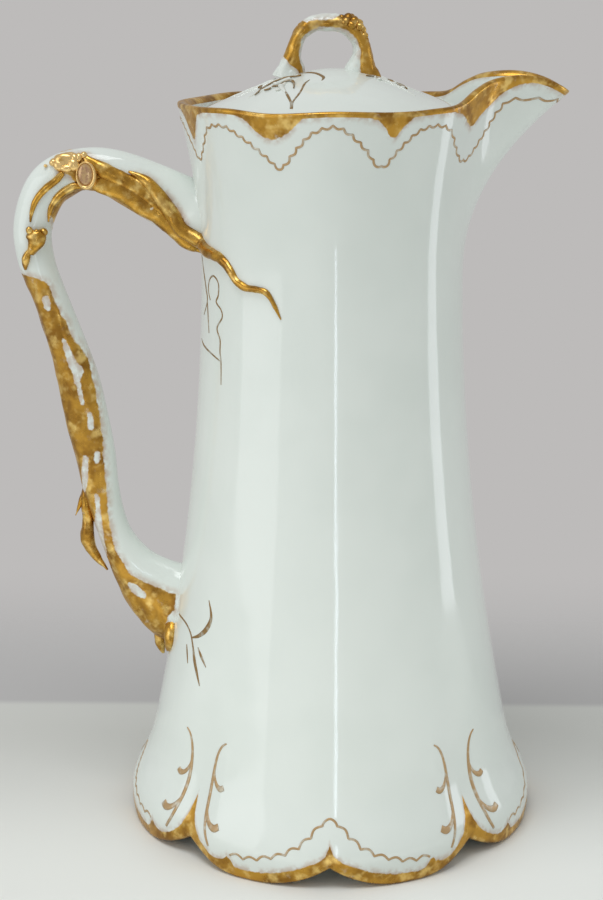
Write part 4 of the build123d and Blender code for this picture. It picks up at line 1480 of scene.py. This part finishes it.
def area_light(name, place, aim, size, power, colour):
    """Soft box at a place, pointed at another, with its width and height."""
    data = bpy.data.lights.new(name, "AREA")
    data.shape, data.size, data.size_y = "RECTANGLE", size[0], size[1]
    data.energy, data.color = power, linear(colour)
    lamp = bpy.data.objects.new(name, data)
    lamp.location = place
    lamp.rotation_mode = "QUATERNION"
    lamp.rotation_quaternion = (Vector(aim) - Vector(place)).to_track_quat("-Z", "Y")
    lamp.visible_camera = False
    bpy.context.scene.collection.objects.link(lamp)


class POT_OT_stage(bpy.types.Operator):
    """Floor, backdrop, soft lights and the camera at the photograph's angle"""

    bl_idname = "pot.stage"
    bl_label = "Stage"

    def execute(self, context):
        scene = context.scene
        bm = bmesh.new()
        bmesh.ops.create_circle(bm, cap_ends=True, segments=128, radius=FLOOR_RADIUS)
        mesh = bpy.data.meshes.new("floor")
        bm.to_mesh(mesh)
        bm.free()
        mesh.materials.append(floor_paper())
        floor = bpy.data.objects.new("floor", mesh)
        scene.collection.objects.link(floor)
        self.light_world(scene)
        for lamp in LAMPS:
            area_light(*lamp)
        self.place_camera(scene)
        scene.view_settings.view_transform = "Standard"
        return {"FINISHED"}

    def light_world(self, scene):
        """Even grey-white light, with the backdrop's own colour for what the camera sees."""
        world = bpy.data.worlds.new("studio")
        scene.world = world
        world.use_nodes = True
        world.node_tree.nodes.clear()
        add = partial(add_node, world.node_tree)
        light = add("Background", (linear(WORLD_LIGHT), WORLD_STRENGTH))
        shown = add("Background", (scene.pot_colours.backdrop, 1.0))
        seen = 0.0
        for ray in ("Is Camera Ray", "Is Glossy Ray", "Is Transmission Ray"):
            seen = add("Math", (seen, add("LightPath", output=ray)), operation="ADD")
        add("OutputWorld", (add("MixShader", (seen, light, shown)),))

    def place_camera(self, scene):
        data = bpy.data.cameras.new("camera")
        data.sensor_width = SENSOR
        data.lens = FOCAL_PIXELS * SENSOR / PHOTO_HEIGHT
        data.clip_start, data.clip_end = 0.01, 50
        camera = bpy.data.objects.new("camera", data)
        pitch, yaw = radians(CAMERA_PITCH), radians(CAMERA_YAW)
        forward = Vector((sin(yaw) * cos(pitch), cos(yaw) * cos(pitch), -sin(pitch)))
        camera.location = Vector(CAMERA_PLACE) * MM
        camera.rotation_mode = "QUATERNION"
        camera.rotation_quaternion = forward.to_track_quat("-Z", "Y")
        scene.collection.objects.link(camera)
        scene.camera = camera


PIECES = (
    POT_OT_stage, POT_OT_wall, POT_OT_ledge, POT_OT_handle, POT_OT_branch, POT_OT_tendril,
    POT_OT_knots, POT_OT_leaves, POT_OT_lines, POT_OT_scrolls, POT_OT_sprays, POT_OT_lid,
    POT_OT_loop, POT_OT_lid_sprays,
)


class VIEW3D_PT_chocolate_pot(bpy.types.Panel):
    """Sizes, colours and pieces of the chocolate pot"""

    bl_label = "Chocolate pot"
    bl_space_type = "VIEW_3D"
    bl_region_type = "UI"
    bl_category = "Chocolate pot"

    def draw(self, context):
        for group in (context.scene.pot_sizes, context.scene.pot_colours):
            column = self.layout.column(align=True)
            for name in type(group).__annotations__:
                column.prop(group, name)
        column = self.layout.column(align=True)
        for piece in PIECES:
            column.operator(piece.bl_idname)


CLASSES = (PotColours, PotSizes, *PIECES, VIEW3D_PT_chocolate_pot)


def register():
    for made in CLASSES:
        bpy.utils.register_class(made)
    bpy.types.Scene.pot_colours = bpy.props.PointerProperty(type=PotColours)
    bpy.types.Scene.pot_sizes = bpy.props.PointerProperty(type=PotSizes)


def unregister():
    del bpy.types.Scene.pot_sizes
    del bpy.types.Scene.pot_colours
    for made in reversed(CLASSES):
        bpy.utils.unregister_class(made)


def main():
    register()
    for piece in PIECES:
        getattr(bpy.ops.pot, piece.bl_idname.split(".")[1])()


if __name__ == "__main__":
    main()
